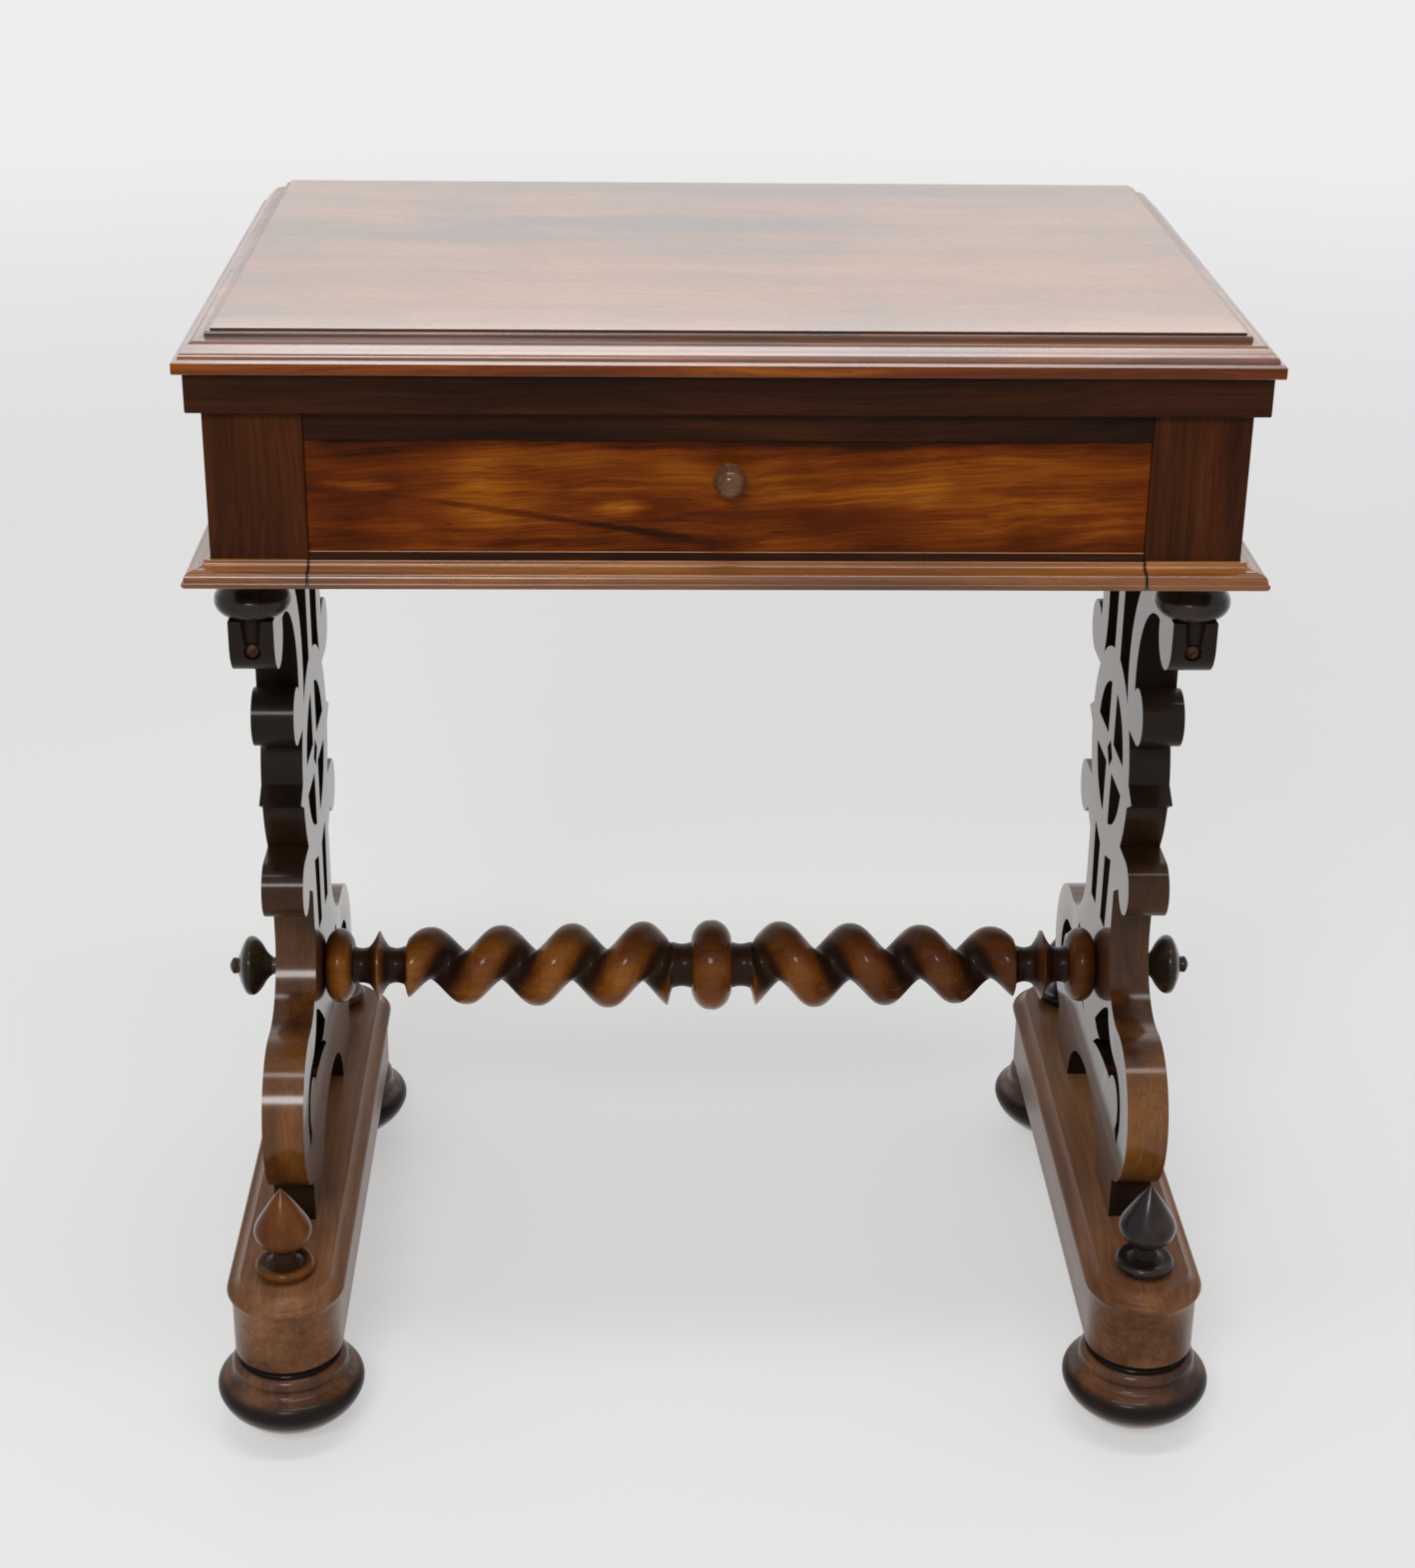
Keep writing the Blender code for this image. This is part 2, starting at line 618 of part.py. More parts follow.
def case():
    """The carcase: sides, stiles, back, rails, dust board and drawer guides."""
    up = (CASE_BOTTOM, CASE_TOP)
    for side, sign in SIDES:
        outer = sorted((sign * SIDE_INNER, sign * CASE_SIDE))
        box(f"case_side_{side}", ROSEWOOD, outer, (STILE_BACK + SEAT, CASE_BACK), up)
        post = sorted((sign * OPENING_HALF, sign * CASE_SIDE))
        box(f"front_stile_{side}", DARK_ROSEWOOD, post, (CASE_FRONT, STILE_BACK), up, None, LEAF_ARRIS)
        guide = sorted((sign * (OPENING_HALF + SEAT), sign * (SIDE_INNER - SEAT)))
        guide_up = (DUST_BOARD_TOP + SEAT, DUST_BOARD_TOP + SEAT + GUIDE_HEIGHT)
        box(f"drawer_guide_{side}", LINING_WOOD, guide, (STILE_BACK + SEAT, BACK_INNER - SEAT), guide_up)
    inside = (-SIDE_INNER + SEAT, SIDE_INNER - SEAT)
    box("case_back", ROSEWOOD, inside, (BACK_INNER, CASE_BACK), up)
    rail = (-OPENING_HALF + SEAT, OPENING_HALF - SEAT)
    rail_up = (CASE_TOP - TOP_RAIL_HEIGHT, CASE_TOP)
    box("top_rail", DARK_ROSEWOOD, rail, (CASE_FRONT, STILE_BACK), rail_up)
    board = (STILE_BACK + SEAT, BACK_INNER - SEAT)
    box("dust_board", LINING_WOOD, inside, board, (CASE_BOTTOM, DUST_BOARD_TOP))
    pivot_rail(inside)


def pivot_rail(inside):
    """The cross rail that the swivel bolt passes through."""
    along = (PIVOT.y - PIVOT_RAIL_WIDTH / 2, min(PIVOT.y + PIVOT_RAIL_WIDTH / 2, BACK_INNER - SEAT))
    bottom = CASE_TOP - PIVOT_RAIL_THICK
    rail = box("pivot_rail", LINING_WOOD, inside, along, (bottom, CASE_TOP))
    start = (PIVOT.x, PIVOT.y, bottom - CUT_PAST)
    length = PIVOT_RAIL_THICK + 2 * CUT_PAST
    cut(rail, bore("pivot_rail_cut", PIVOT_RADIUS + RUNNING_GAP, start, length))


def moulding_profile(strip=0.0):
    """The case moulding as (out, up): round lower edge, cove and fillet, with a strip above on the drawer."""
    cove_foot = 2 * MOULDING_ROUND
    cove_top = MOULDING_HEIGHT - MOULDING_FILLET
    cove = (MOULDING_OUT - MOULDING_ROUND, cove_foot), (MOULDING_FILLET, cove_top)
    profile = [(0.0, 0.0)]
    profile += arc((MOULDING_OUT - MOULDING_ROUND, MOULDING_ROUND), MOULDING_ROUND, -90, 90, 5)
    profile += bend(cove[0], (MOULDING_FILLET, cove_foot), cove[1], 4)[1:]
    profile += [(MOULDING_FILLET, MOULDING_HEIGHT)]
    if strip:
        lip = MOULDING_FILLET / 2
        profile += [(lip, MOULDING_HEIGHT), (lip, MOULDING_HEIGHT + strip)]
    return profile + [(0.0, MOULDING_HEIGHT + strip)]


def moulding(name, start, end, face, turn, frame=None, mitres=(0, 0), strip=0.0):
    """A length of case moulding along local X with its back on a face; mitred ends follow its outer edge."""
    rings = []
    for place, mitre in zip((start, end), mitres):
        slip = -SEAT if place > 0 else SEAT
        ring = []
        for out, up in moulding_profile(strip):
            ring.append((place + mitre * (out + SEAT) + slip, -face - SEAT - out, CASE_BOTTOM + up))
        rings.append(ring)
    obj = loft(name, ROSEWOOD, rings, (0, 0, 0), frame)
    obj.rotation_euler = (0, 0, turn)
    return obj


def case_mouldings():
    """The moulding round the case, mitred at its corners and open at the front for the drawer's length."""
    front = -CASE_FRONT
    half = math.pi / 2
    moulding("front_moulding_left", -CASE_SIDE, -OPENING_HALF, front, 0, None, (-1, 0))
    moulding("front_moulding_right", OPENING_HALF, CASE_SIDE, front, 0, None, (0, 1))
    moulding("side_moulding_right", CASE_FRONT, CASE_BACK, CASE_SIDE, half, None, (-1, 1))
    moulding("side_moulding_left", -CASE_BACK, -CASE_FRONT, CASE_SIDE, -half, None, (-1, 1))
    moulding("back_moulding", -CASE_SIDE, CASE_SIDE, CASE_BACK, math.pi, None, (-1, 1))


# Drawer


def drawer(frame):
    """The drawer box, its front with the moulding below, and the turned knob."""
    front_along = (CASE_FRONT, DRAWER_FRONT_BACK)
    face = (-DRAWER_HALF, DRAWER_HALF)
    box("drawer_front", FIGURED_ROSEWOOD, face, front_along, (CASE_BOTTOM, DRAWER_TOP), frame, LEAF_ARRIS)
    moulding("drawer_moulding", -OPENING_HALF, OPENING_HALF, -CASE_FRONT, 0, frame, strip=DRAWER_STRIP)
    back = DRAWER_BACK
    rest = DUST_BOARD_TOP + RUNNING_GAP
    side_up = (rest, rest + DRAWER_SIDE_HEIGHT)
    along = (DRAWER_FRONT_BACK + SEAT, back)
    inner = DRAWER_HALF - DRAWER_SIDE_THICK - SEAT
    for side, sign in SIDES:
        across = sorted((sign * (DRAWER_HALF - DRAWER_SIDE_THICK), sign * DRAWER_HALF))
        box(f"drawer_side_{side}", LINING_WOOD, across, along, side_up, frame)
    floor = rest + DRAWER_BOTTOM_RISE
    floor_up = (floor, floor + DRAWER_BOTTOM_THICK)
    box("drawer_bottom", LINING_WOOD, (-inner, inner), along, floor_up, frame)
    back_up = (floor_up[1] + SEAT, side_up[1])
    box("drawer_back", LINING_WOOD, (-inner, inner), (back - DRAWER_BACK_THICK, back), back_up, frame)
    knob(frame)


def knob(frame):
    """The drawer's turned wooden knob, its axis along Y."""
    radius = KNOB_RADIUS
    length = KNOB_LENGTH
    face = [(0, 0), (0.60 * radius, -0.02 * length), (0.90 * radius, -0.14 * length)]
    rim = [(radius, -0.30 * length), (0.92 * radius, -0.46 * length), (0.62 * radius, -0.62 * length)]
    neck = [(0.52 * radius, -0.76 * length), (0.60 * radius, -0.90 * length), (0.80 * radius, -length)]
    place = (0, CASE_FRONT - SEAT - length, DRAWER_TOP - KNOB_BELOW_TOP)
    profile = face + rim + neck + [(0, -length)]
    turned("drawer_knob", ROSEWOOD, profile, place, frame, TURNED_STEPS, (math.pi / 2, 0, 0))


# Fretwork supports


def support_edge():
    """Half of a support's outer edge as (out, up), from the top of its centre line down to the foot."""
    tip = (HOOK_FRONT - HOOK_WIDTH / 2, HOOK_SEAT - HOOK_DROP + HOOK_WIDTH / 2)
    arch, arch_radius = hook_arch()
    lobe = (LOBE_OUT, RING_HEIGHT + LOBE_RISE)
    low_lobe = (LOBE_OUT, RING_HEIGHT - LOBE_RISE)
    into_lobe = circles_meet(lobe, LOBE_RADIUS, arch, arch_radius)
    web = math.degrees(math.asin((LOBE_RISE - LOBE_RADIUS) / RING_OUTER))
    spur = math.degrees(math.asin(SPUR_HALF / RING_OUTER))
    ring = (0.0, RING_HEIGHT)
    edge = [(0.0, SUPPORT_HEIGHT), (HEAD_RAIL_HALF, SUPPORT_HEIGHT)]
    edge += [(HEAD_RAIL_HALF, HOOK_SEAT), (HOOK_FRONT, HOOK_SEAT)]
    edge += arc(tip, HOOK_WIDTH / 2, 0, -180, 8)
    edge += [(HOOK_INNER, arch[1] + arch_radius)]
    edge += arc(arch, arch_radius, 90, angle_of(arch, into_lobe) % 360, 7)
    edge += arc(lobe, LOBE_RADIUS, angle_of(lobe, into_lobe), -90, 8)
    edge += arc(ring, RING_OUTER, web, spur, 2)
    edge += [(SPUR_OUT, RING_HEIGHT)]
    edge += arc(ring, RING_OUTER, -spur, -web, 2)
    edge += arc(low_lobe, LOBE_RADIUS, 90, -150, 9)
    return edge + support_foot_edge()


def support_foot_edge():
    """The lower half of the same edge: stem, flare, volute, pad and the arch between the pads."""
    volute = (VOLUTE_OUT, VOLUTE_HEIGHT)
    flare_out = STEM_HALF + FLARE_RADIUS
    reach = FLARE_RADIUS + VOLUTE_RADIUS
    flare = (flare_out, VOLUTE_HEIGHT + math.sqrt(reach**2 - (flare_out - VOLUTE_OUT) ** 2))
    tangent = angle_of(flare, volute)
    throat_drop = math.sqrt(VOLUTE_RADIUS**2 - (PAD_OUTER - VOLUTE_OUT) ** 2)
    throat = angle_of(volute, (PAD_OUTER, VOLUTE_HEIGHT - throat_drop))
    edge = [(STEM_HALF, RING_HEIGHT - LOBE_RISE - LOBE_RADIUS)]
    edge += arc(flare, FLARE_RADIUS, 180, tangent + 360, 5)
    edge += arc(volute, VOLUTE_RADIUS, tangent + 180, throat, 13)
    edge += [(PAD_OUTER, 0.0)]
    arch = [(PAD_INNER * out, FOOT_ARCH_HEIGHT * up) for out, up in arc((0, 0), 1.0, 0, 90, 6)]
    return edge + arch


def hook_arch():
    """The centre and radius of the arch that carries a hook, whose strap laps onto the ring."""
    top = HOOK_SEAT - HOOK_NECK
    rise = top - RING_HEIGHT
    reach = RING_OUTER + STRAP_WIDTH - STRAP_LAP
    radius = (HOOK_INNER**2 + rise**2 - reach**2) / (2 * (rise + reach))
    return (HOOK_INNER, top - radius), radius


def spandrel_hole():
    """The opening between the arch strap, the head rail, the centre bar and the ring."""
    arch, arch_radius = hook_arch()
    strap = arch_radius + STRAP_WIDTH
    ring = (0.0, RING_HEIGHT)
    corner = circles_meet(ring, RING_OUTER, arch, strap)
    rail = SUPPORT_HEIGHT - HEAD_RAIL_THICK
    top_angle = 180 - math.degrees(math.asin((rail - arch[1]) / strap))
    bar_angle = math.degrees(math.acos(BAR_HALF / RING_OUTER))
    hole = arc(ring, RING_OUTER, bar_angle, angle_of(ring, corner), 3)
    hole += arc(arch, strap, angle_of(arch, corner) % 360, top_angle, 6)
    return hole + [(BAR_HALF, rail)]


def quadrant_hole():
    """One quarter of the ring, between the cross bars."""
    start = math.degrees(math.asin(BAR_HALF / RING_INNER))
    hole = [(BAR_HALF, BAR_HALF)] + arc((0, 0), RING_INNER, start, 90 - start, 5)
    return [(out, RING_HEIGHT + up) for out, up in hole]


def low_slot_hole():
    """The slot under the ring beside the centre bar."""
    bar_top = RING_HEIGHT - math.sqrt(RING_OUTER**2 - BAR_HALF**2)
    side_top = RING_HEIGHT - math.sqrt(RING_OUTER**2 - SLOT_TOP_HALF**2)
    foot = [(SLOT_FOOT_HALF, SLOT_FOOT), (BAR_HALF, SLOT_FOOT)]
    return [(BAR_HALF, bar_top), (SLOT_TOP_HALF, side_top)] + foot


def volute_hole():
    """The curling slit round the volute's eye, opening into a forked leaf towards the centre."""
    eye = (VOLUTE_OUT - EYE_BACK, VOLUTE_HEIGHT - EYE_DROP)
    crest = (eye[0] - SLIT_OUTER - TAIL_HALF / 2, eye[1] + LEAF_CREST)
    high_tail = (TAIL_HALF, eye[1] + TAIL_RISE)
    low_tail = (TAIL_HALF, eye[1])
    fork = (2.2 * TAIL_HALF, eye[1] + 0.8 * TAIL_RISE)
    slit = arc(eye, SLIT_OUTER, -40, 90, 7)
    curl = arc(eye, SLIT_INNER, 150, -40, 9)
    leaf = bend(slit[-1], (crest[0] + TAIL_HALF / 2, slit[-1][1]), crest)
    leaf += bend(crest, (crest[0] - TAIL_HALF / 2, crest[1]), high_tail)
    leaf += bend(high_tail, (fork[0] - TAIL_HALF / 2, fork[1] - TAIL_RISE / 8), fork, 2)
    leaf += bend(fork, (fork[0] - TAIL_HALF / 2, fork[1] - TAIL_RISE / 8), low_tail, 2)
    leaf += bend(low_tail, (fork[0], curl[0][1]), curl[0])
    return slit + leaf + curl


def supports():
    """The two sawn end supports."""
    half = support_edge()
    tenon_hole = clear_radius(TENON_RADIUS + SEAT, STRETCHER_SIDES)
    tenon = arc((0.0, STRETCHER_RISE), tenon_hole, 0, 360, STRETCHER_SIDES)
    corners = (0, 90, 180, 270)
    diamond = [arc((0.0, RING_HEIGHT), DIAMOND_HALF, angle, angle, 1)[0] for angle in corners]
    outlines = [half + mirrored(half), tenon, diamond]
    upper_quadrant = quadrant_hole()
    lower_quadrant = [(out, 2 * RING_HEIGHT - up) for out, up in upper_quadrant]
    for hole in (spandrel_hole(), upper_quadrant, lower_quadrant, low_slot_hole(), volute_hole()):
        outlines += [hole, mirrored(hole)]
    for side, sign in SIDES:
        place = (sign * SUPPORT_OUT, 0, SUPPORT_FOOT)
        sawn_board(f"end_support_{side}", DARK_ROSEWOOD, outlines, SUPPORT_THICK, place)


def bosses():
    """The turned bosses between the hooks and the case, fullest low down."""
    height = BOSS_HEIGHT - SEAT
    face = BOSS_FACE_RADIUS
    belly = BOSS_RADIUS - face
    profile = [(0, height), (face, height)]
    for swell, rise in ((0.25, 0.83), (0.58, 0.62), (0.86, 0.47), (1.0, 0.31), (0.84, 0.16), (0.42, 0.05)):
        profile.append((face + swell * belly, rise * height))
    profile += [(face, 0), (0, 0)]
    seat = SUPPORT_FOOT + HOOK_SEAT + SEAT
    for side, sign in SIDES:
        for end, way in ENDS:
            turned(f"boss_{end}_{side}", EBONISED, profile, (sign * SUPPORT_OUT, way * BOSS_OUT, seat))


# Stretcher


def bead(centre, half, root, crown, steps):
    """Stations of a rounded bead as (distance, radius)."""
    points = []
    for i in range(steps + 1):
        t = -1 + 2 * i / steps
        points.append((centre + half * t, root + (crown - root) * math.sqrt(max(0.0, 1 - t * t))))
    return points


def stretcher_half():
    """Stations from the middle outwards as (distance, radius, groove depth, turn of the twist)."""
    end = SUPPORT_INNER - SEAT
    bead_centre = end - END_BEAD_HALF
    collar_centre = bead_centre - END_BEAD_HALF - END_NECK_LENGTH - COLLAR_HALF
    twist_start = MIDDLE_BEAD_HALF + MIDDLE_NECK_LENGTH
    twist_end = collar_centre - COLLAR_HALF - END_NECK_LENGTH
    middle = bead(0.0, MIDDLE_BEAD_HALF, MIDDLE_NECK_RADIUS, MIDDLE_BEAD_RADIUS, 10)
    stations = [(distance, radius, 0.0, 0.0) for distance, radius in middle if distance >= 0]
    count = round(TWIST_STATIONS_A_TURN * (twist_end - twist_start) / TWIST_PITCH)
    for i in range(count + 1):
        share = i / count
        distance = twist_start + (twist_end - twist_start) * share
        ease = min(1.0, (distance - twist_start) / TWIST_LEAD, (twist_end - distance) / TWIST_LEAD)
        crown = TWIST_MIDDLE_RADIUS + (TWIST_END_RADIUS - TWIST_MIDDLE_RADIUS) * share
        neck = MIDDLE_NECK_RADIUS if share < 0.5 else END_NECK_RADIUS
        groove = TWIST_MIDDLE_GROOVE + (TWIST_END_GROOVE - TWIST_MIDDLE_GROOVE) * share
        turn = 2 * math.pi * (distance - twist_start) / TWIST_PITCH - math.pi
        stations.append((distance, neck + (crown - neck) * ease, groove * ease, turn))
    flank = 0.75 * COLLAR_RADIUS
    collar = [(-COLLAR_HALF, END_NECK_RADIUS), (-COLLAR_HALF / 3, flank), (0, COLLAR_RADIUS)]
    collar += [(-along, radius) for along, radius in reversed(collar[:-1])]
    rest = [(collar_centre + along, radius) for along, radius in collar]
    rest += bead(bead_centre, END_BEAD_HALF, END_NECK_RADIUS, END_BEAD_RADIUS, 6)
    rest += [(end, TENON_RADIUS), (SUPPORT_OUTER, TENON_RADIUS)]
    return stations + [(distance, radius, 0.0, 0.0) for distance, radius in rest]


def stretcher_ring(station, sign):
    """One cross-section of the stretcher, wound the opposite way on each side of the middle."""
    distance, radius, groove, turn = station
    ring = []
    for i in range(STRETCHER_SIDES):
        angle = 2 * math.pi * i / STRETCHER_SIDES
        hollow = ((1 - math.cos(angle - turn)) / 2) ** GROOVE_POWER
        reach = radius - groove * hollow
        ring.append((sign * distance, -reach * math.sin(angle), reach * math.cos(angle)))
    return ring


def stretcher():
    """The turned and twisted bar, tenoned through both supports and bored for the end knobs."""
    half = stretcher_half()
    rings = [stretcher_ring(station, -1) for station in reversed(half[1:])]
    rings += [stretcher_ring(station, 1) for station in half]
    bar = loft("stretcher", FIGURED_ROSEWOOD, rings, (0, 0, STRETCHER_HEIGHT))
    depth = END_KNOB_SPIGOT_LENGTH + SEAT
    for side, sign in SIDES:
        start = SUPPORT_OUTER - depth if sign > 0 else -SUPPORT_OUTER - CUT_PAST
        place = (start, 0, STRETCHER_HEIGHT)
        cut(bar, bore(f"spigot_cut_{side}", END_KNOB_SPIGOT + SEAT, place, depth + CUT_PAST, "X"))


def stretcher_knobs():
    """The mushroom knobs with pointed tips outside the supports."""
    length = END_KNOB_LENGTH
    radius = END_KNOB_RADIUS
    tip = [(0, length), (0.15 * radius, 0.975 * length), (0.28 * radius, 0.915 * length)]
    tip += [(0.26 * radius, 0.865 * length)]
    cap = [(0.42 * radius, 0.82 * length), (0.72 * radius, 0.775 * length), (0.95 * radius, 0.71 * length)]
    rim = [(radius, 0.64 * length), (0.90 * radius, 0.575 * length), (0.55 * radius, 0.51 * length)]
    neck = [(END_KNOB_NECK, 0.44 * length), (END_KNOB_NECK, 0)]
    spigot = [(END_KNOB_SPIGOT, 0), (END_KNOB_SPIGOT, -END_KNOB_SPIGOT_LENGTH), (0, -END_KNOB_SPIGOT_LENGTH)]
    profile = tip + cap + rim + neck + spigot
    for side, sign in SIDES:
        place = (sign * (SUPPORT_OUTER + SEAT), 0, STRETCHER_HEIGHT)
        turn = (0, sign * math.pi / 2, 0)
        turned(f"stretcher_knob_{side}", EBONISED, profile, place, None, SMALL_STEPS, turn)


# Runners, finials, feet and castors


def runner_ring(radius, height):
    """One level of a runner: a bar with round ends."""
    front = arc((0, -FOOT_OUT), radius, 180, 360, RUNNER_END_STEPS)
    back = arc((0, FOOT_OUT), radius, 0, 180, RUNNER_END_STEPS)
    return [(x, y, height) for x, y in front + back]


def runners():
    """The two runners with their moulded upper lips, bored for the feet and the finials."""
    lip = RUNNER_HALF_WIDTH + RUNNER_LIP
    lip_foot = RUNNER_HEIGHT - RUNNER_LIP_HEIGHT
    profile = [(RUNNER_HALF_WIDTH, 0), (RUNNER_HALF_WIDTH, lip_foot)]
    profile += arc((lip - RUNNER_LIP, lip_foot + 2 * RUNNER_LIP), RUNNER_LIP, -60, 60, 4)
    hollow = (lip - 2 * RUNNER_LIP, lip_foot + 3 * RUNNER_LIP)
    profile += bend(profile[-1], hollow, (lip - 3 * RUNNER_LIP, RUNNER_HEIGHT))
    rings = [runner_ring(radius, height) for radius, height in profile]
    for side, sign in SIDES:
        bar = loft(f"runner_{side}", ROSEWOOD, rings, (sign * SUPPORT_OUT, 0, RUNNER_BOTTOM))
        for end, way in ENDS:
            foot = (sign * SUPPORT_OUT, way * FOOT_OUT, RUNNER_BOTTOM - CUT_PAST)
            depth = FOOT_SPIGOT_LENGTH + 2 * SEAT + CUT_PAST
            cut(bar, bore(f"foot_socket_{end}_{side}", FOOT_SPIGOT_RADIUS + SEAT, foot, depth))
            finial_depth = FINIAL_SPIGOT_LENGTH + 2 * SEAT
            finial = (sign * SUPPORT_OUT, way * FOOT_OUT, RUNNER_TOP - finial_depth)
            socket = FINIAL_SPIGOT_RADIUS + SEAT
            cut(bar, bore(f"finial_socket_{end}_{side}", socket, finial, finial_depth + CUT_PAST))


def finials():
    """Teardrop finials on dished flanges."""
    height = FINIAL_HEIGHT
    bulb = FINIAL_BULB_RADIUS
    flange = FINIAL_FLANGE_RADIUS
    tip = [(0, height), (0.40 * bulb, 0.835 * height), (0.70 * bulb, 0.70 * height)]
    drop = [(0.93 * bulb, 0.585 * height), (bulb, 0.50 * height), (0.90 * bulb, 0.405 * height)]
    neck = FINIAL_NECK_RADIUS
    waist = [(0.60 * bulb, 0.325 * height), (neck, 0.27 * height), (neck, 0.20 * height)]
    dish = [(0.62 * flange, 0.135 * height), (0.92 * flange, 0.135 * height), (flange, 0.095 * height)]
    base = [(0.95 * flange, 0.045 * height), (0.82 * flange, 0)]
    spigot_foot = -FINIAL_SPIGOT_LENGTH
    spigot = [(FINIAL_SPIGOT_RADIUS, 0), (FINIAL_SPIGOT_RADIUS, spigot_foot), (0, spigot_foot)]
    profile = tip + drop + waist + dish + base + spigot
    finishes = {"left": FIGURED_ROSEWOOD, "right": EBONISED}
    for side, sign in SIDES:
        for end, way in ENDS:
            place = (sign * SUPPORT_OUT, way * FOOT_OUT, RUNNER_TOP + SEAT)
            turned(f"finial_{end}_{side}", finishes[side], profile, place, None, SMALL_STEPS)


def foot_profile():
    """A bun foot from its spigot down, with the castor's hollow underneath; heights are above its sole."""
    height = FOOT_HEIGHT
    spigot = [(0, height + FOOT_SPIGOT_LENGTH), (FOOT_SPIGOT_RADIUS, height + FOOT_SPIGOT_LENGTH)]
    neck = [(FOOT_SPIGOT_RADIUS, height), (RUNNER_HALF_WIDTH - RUNNER_LIP / 2, height)]
    groove = [(FOOT_NECK_RADIUS, 0.95 * height), (FOOT_NECK_RADIUS, 0.91 * height)]
    collar = [(0.95 * FOOT_COLLAR_RADIUS, 0.865 * height), (FOOT_COLLAR_RADIUS, 0.80 * height)]
    collar += [(0.98 * FOOT_COLLAR_RADIUS, 0.72 * height)]
    girth = FOOT_RADIUS
    bun = [(0.875 * girth, 0.655 * height), (0.965 * girth, 0.59 * height), (girth, 0.48 * height)]
    bun += [(0.975 * girth, 0.365 * height), (0.85 * girth, 0.21 * height)]
    sole = [(FOOT_SOLE_RADIUS, 0), (CASTOR_HOLLOW_RADIUS, 0), (CASTOR_HOLLOW_RADIUS, CASTOR_HOLLOW_DEPTH)]
    pin_hole = CASTOR_PIN_RADIUS + RUNNING_GAP
    top = CASTOR_HOLLOW_DEPTH + CASTOR_PIN_LENGTH
    hollow = [(pin_hole, CASTOR_HOLLOW_DEPTH), (pin_hole, top), (0, top)]
    return spigot + neck + groove + collar + bun + sole + hollow


def castor_fork_mesh():
    """The fork of one castor about its swivel axis: plate, pin, cheeks and axle as one body."""
    top = HOLLOW_TOP - SEAT
    plate_foot = top - CASTOR_PLATE_THICK
    pin_top = top + CASTOR_PIN_LENGTH
    profile = [(0, pin_top), (CASTOR_PIN_RADIUS, pin_top), (CASTOR_PIN_RADIUS, top)]
    profile += [(CASTOR_PLATE_RADIUS, top), (CASTOR_PLATE_RADIUS, plate_foot), (0, plate_foot)]
    fork = turned("castor_fork_model", None, profile, (0, 0, 0), None, SMALL_STEPS)
    inner = WHEEL_WIDTH / 2 + RUNNING_GAP
    outer = inner + CASTOR_CHEEK_THICK
    along = (CASTOR_TRAIL - CASTOR_CHEEK_WIDTH / 2, CASTOR_TRAIL + CASTOR_CHEEK_WIDTH / 2)
    up = (WHEEL_RADIUS - CASTOR_CHEEK_WIDTH / 2, plate_foot + CASTOR_PLATE_THICK / 2)
    for side, sign in SIDES:
        join(fork, box(f"castor_cheek_{side}", None, sorted((sign * inner, sign * outer)), along, up))
    axle = (-outer + CASTOR_CHEEK_THICK / 2, CASTOR_TRAIL, WHEEL_RADIUS)
    length = 2 * outer - CASTOR_CHEEK_THICK
    join(fork, rod("castor_axle", CASTOR_AXLE_RADIUS, axle, length, "X", SMALL_STEPS))
    bpy.context.view_layer.update()
    evaluated = fork.evaluated_get(bpy.context.evaluated_depsgraph_get())
    return bpy.data.meshes.new_from_object(evaluated)


def feet_and_castors():
    """A bun foot at each end of each runner, with a castor that swivels in its hollow."""
    profile = foot_profile()
    fork_mesh = castor_fork_mesh()
    half = WHEEL_WIDTH / 2
    hub = CASTOR_AXLE_RADIUS + RUNNING_GAP
    rim = clear_radius(WHEEL_RADIUS, SMALL_STEPS)
    tread = [(hub, half), (rim - WHEEL_EASE, half), (rim, half - WHEEL_EASE)]
    wheel = tread + [(radius, -height) for radius, height in reversed(tread)] + [tread[0]]
    turn = (0, math.pi / 2, 0)
    half_step = math.pi / SMALL_STEPS
    for side, sign in SIDES:
        for end, way in ENDS:
            x = sign * SUPPORT_OUT
            y = way * FOOT_OUT
            turned(f"bun_foot_{end}_{side}", EBONISED, profile, (x, y, FOOT_LIFT))
            swivel = joint_frame(f"castor_swivel_{end}_{side}", (x, y, HOLLOW_TOP))
            axle = joint_frame(f"castor_axle_{end}_{side}", (x, y + CASTOR_TRAIL, WHEEL_RADIUS))
            add_object(f"castor_fork_{end}_{side}", fork_mesh, BRASS, (x, y, 0), swivel)
            place = (x, y + CASTOR_TRAIL, WHEEL_RADIUS)
            turned(f"castor_wheel_{end}_{side}", BRASS, wheel, place, axle, SMALL_STEPS, turn, half_step)


def main():
    """Builds the table from the top down."""
    top_frame = joint_frame("top_swivel", PIVOT)
    fold_frame = joint_frame("leaf_fold", FOLD_LINE)
    drawer_frame = joint_frame("drawer_slide", (0, CASE_FRONT, DRAWER_TOP))
    upper_leaf(fold_frame)
    lower_leaf(top_frame)
    fold_hinges(top_frame, fold_frame)
    swivel_pivot(top_frame)
    case()
    case_mouldings()
    drawer(drawer_frame)
    supports()
    bosses()
    stretcher()
    stretcher_knobs()
    runners()
    finials()
    feet_and_castors()


main()
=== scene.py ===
"""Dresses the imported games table: finer turned, sawn and moulded pieces, polish and a plain studio."""

import json
import logging
import math
from collections.abc import Callable, Sequence
from dataclasses import dataclass, field
from enum import Enum

import bmesh
import bpy
from mathutils import Matrix, Vector

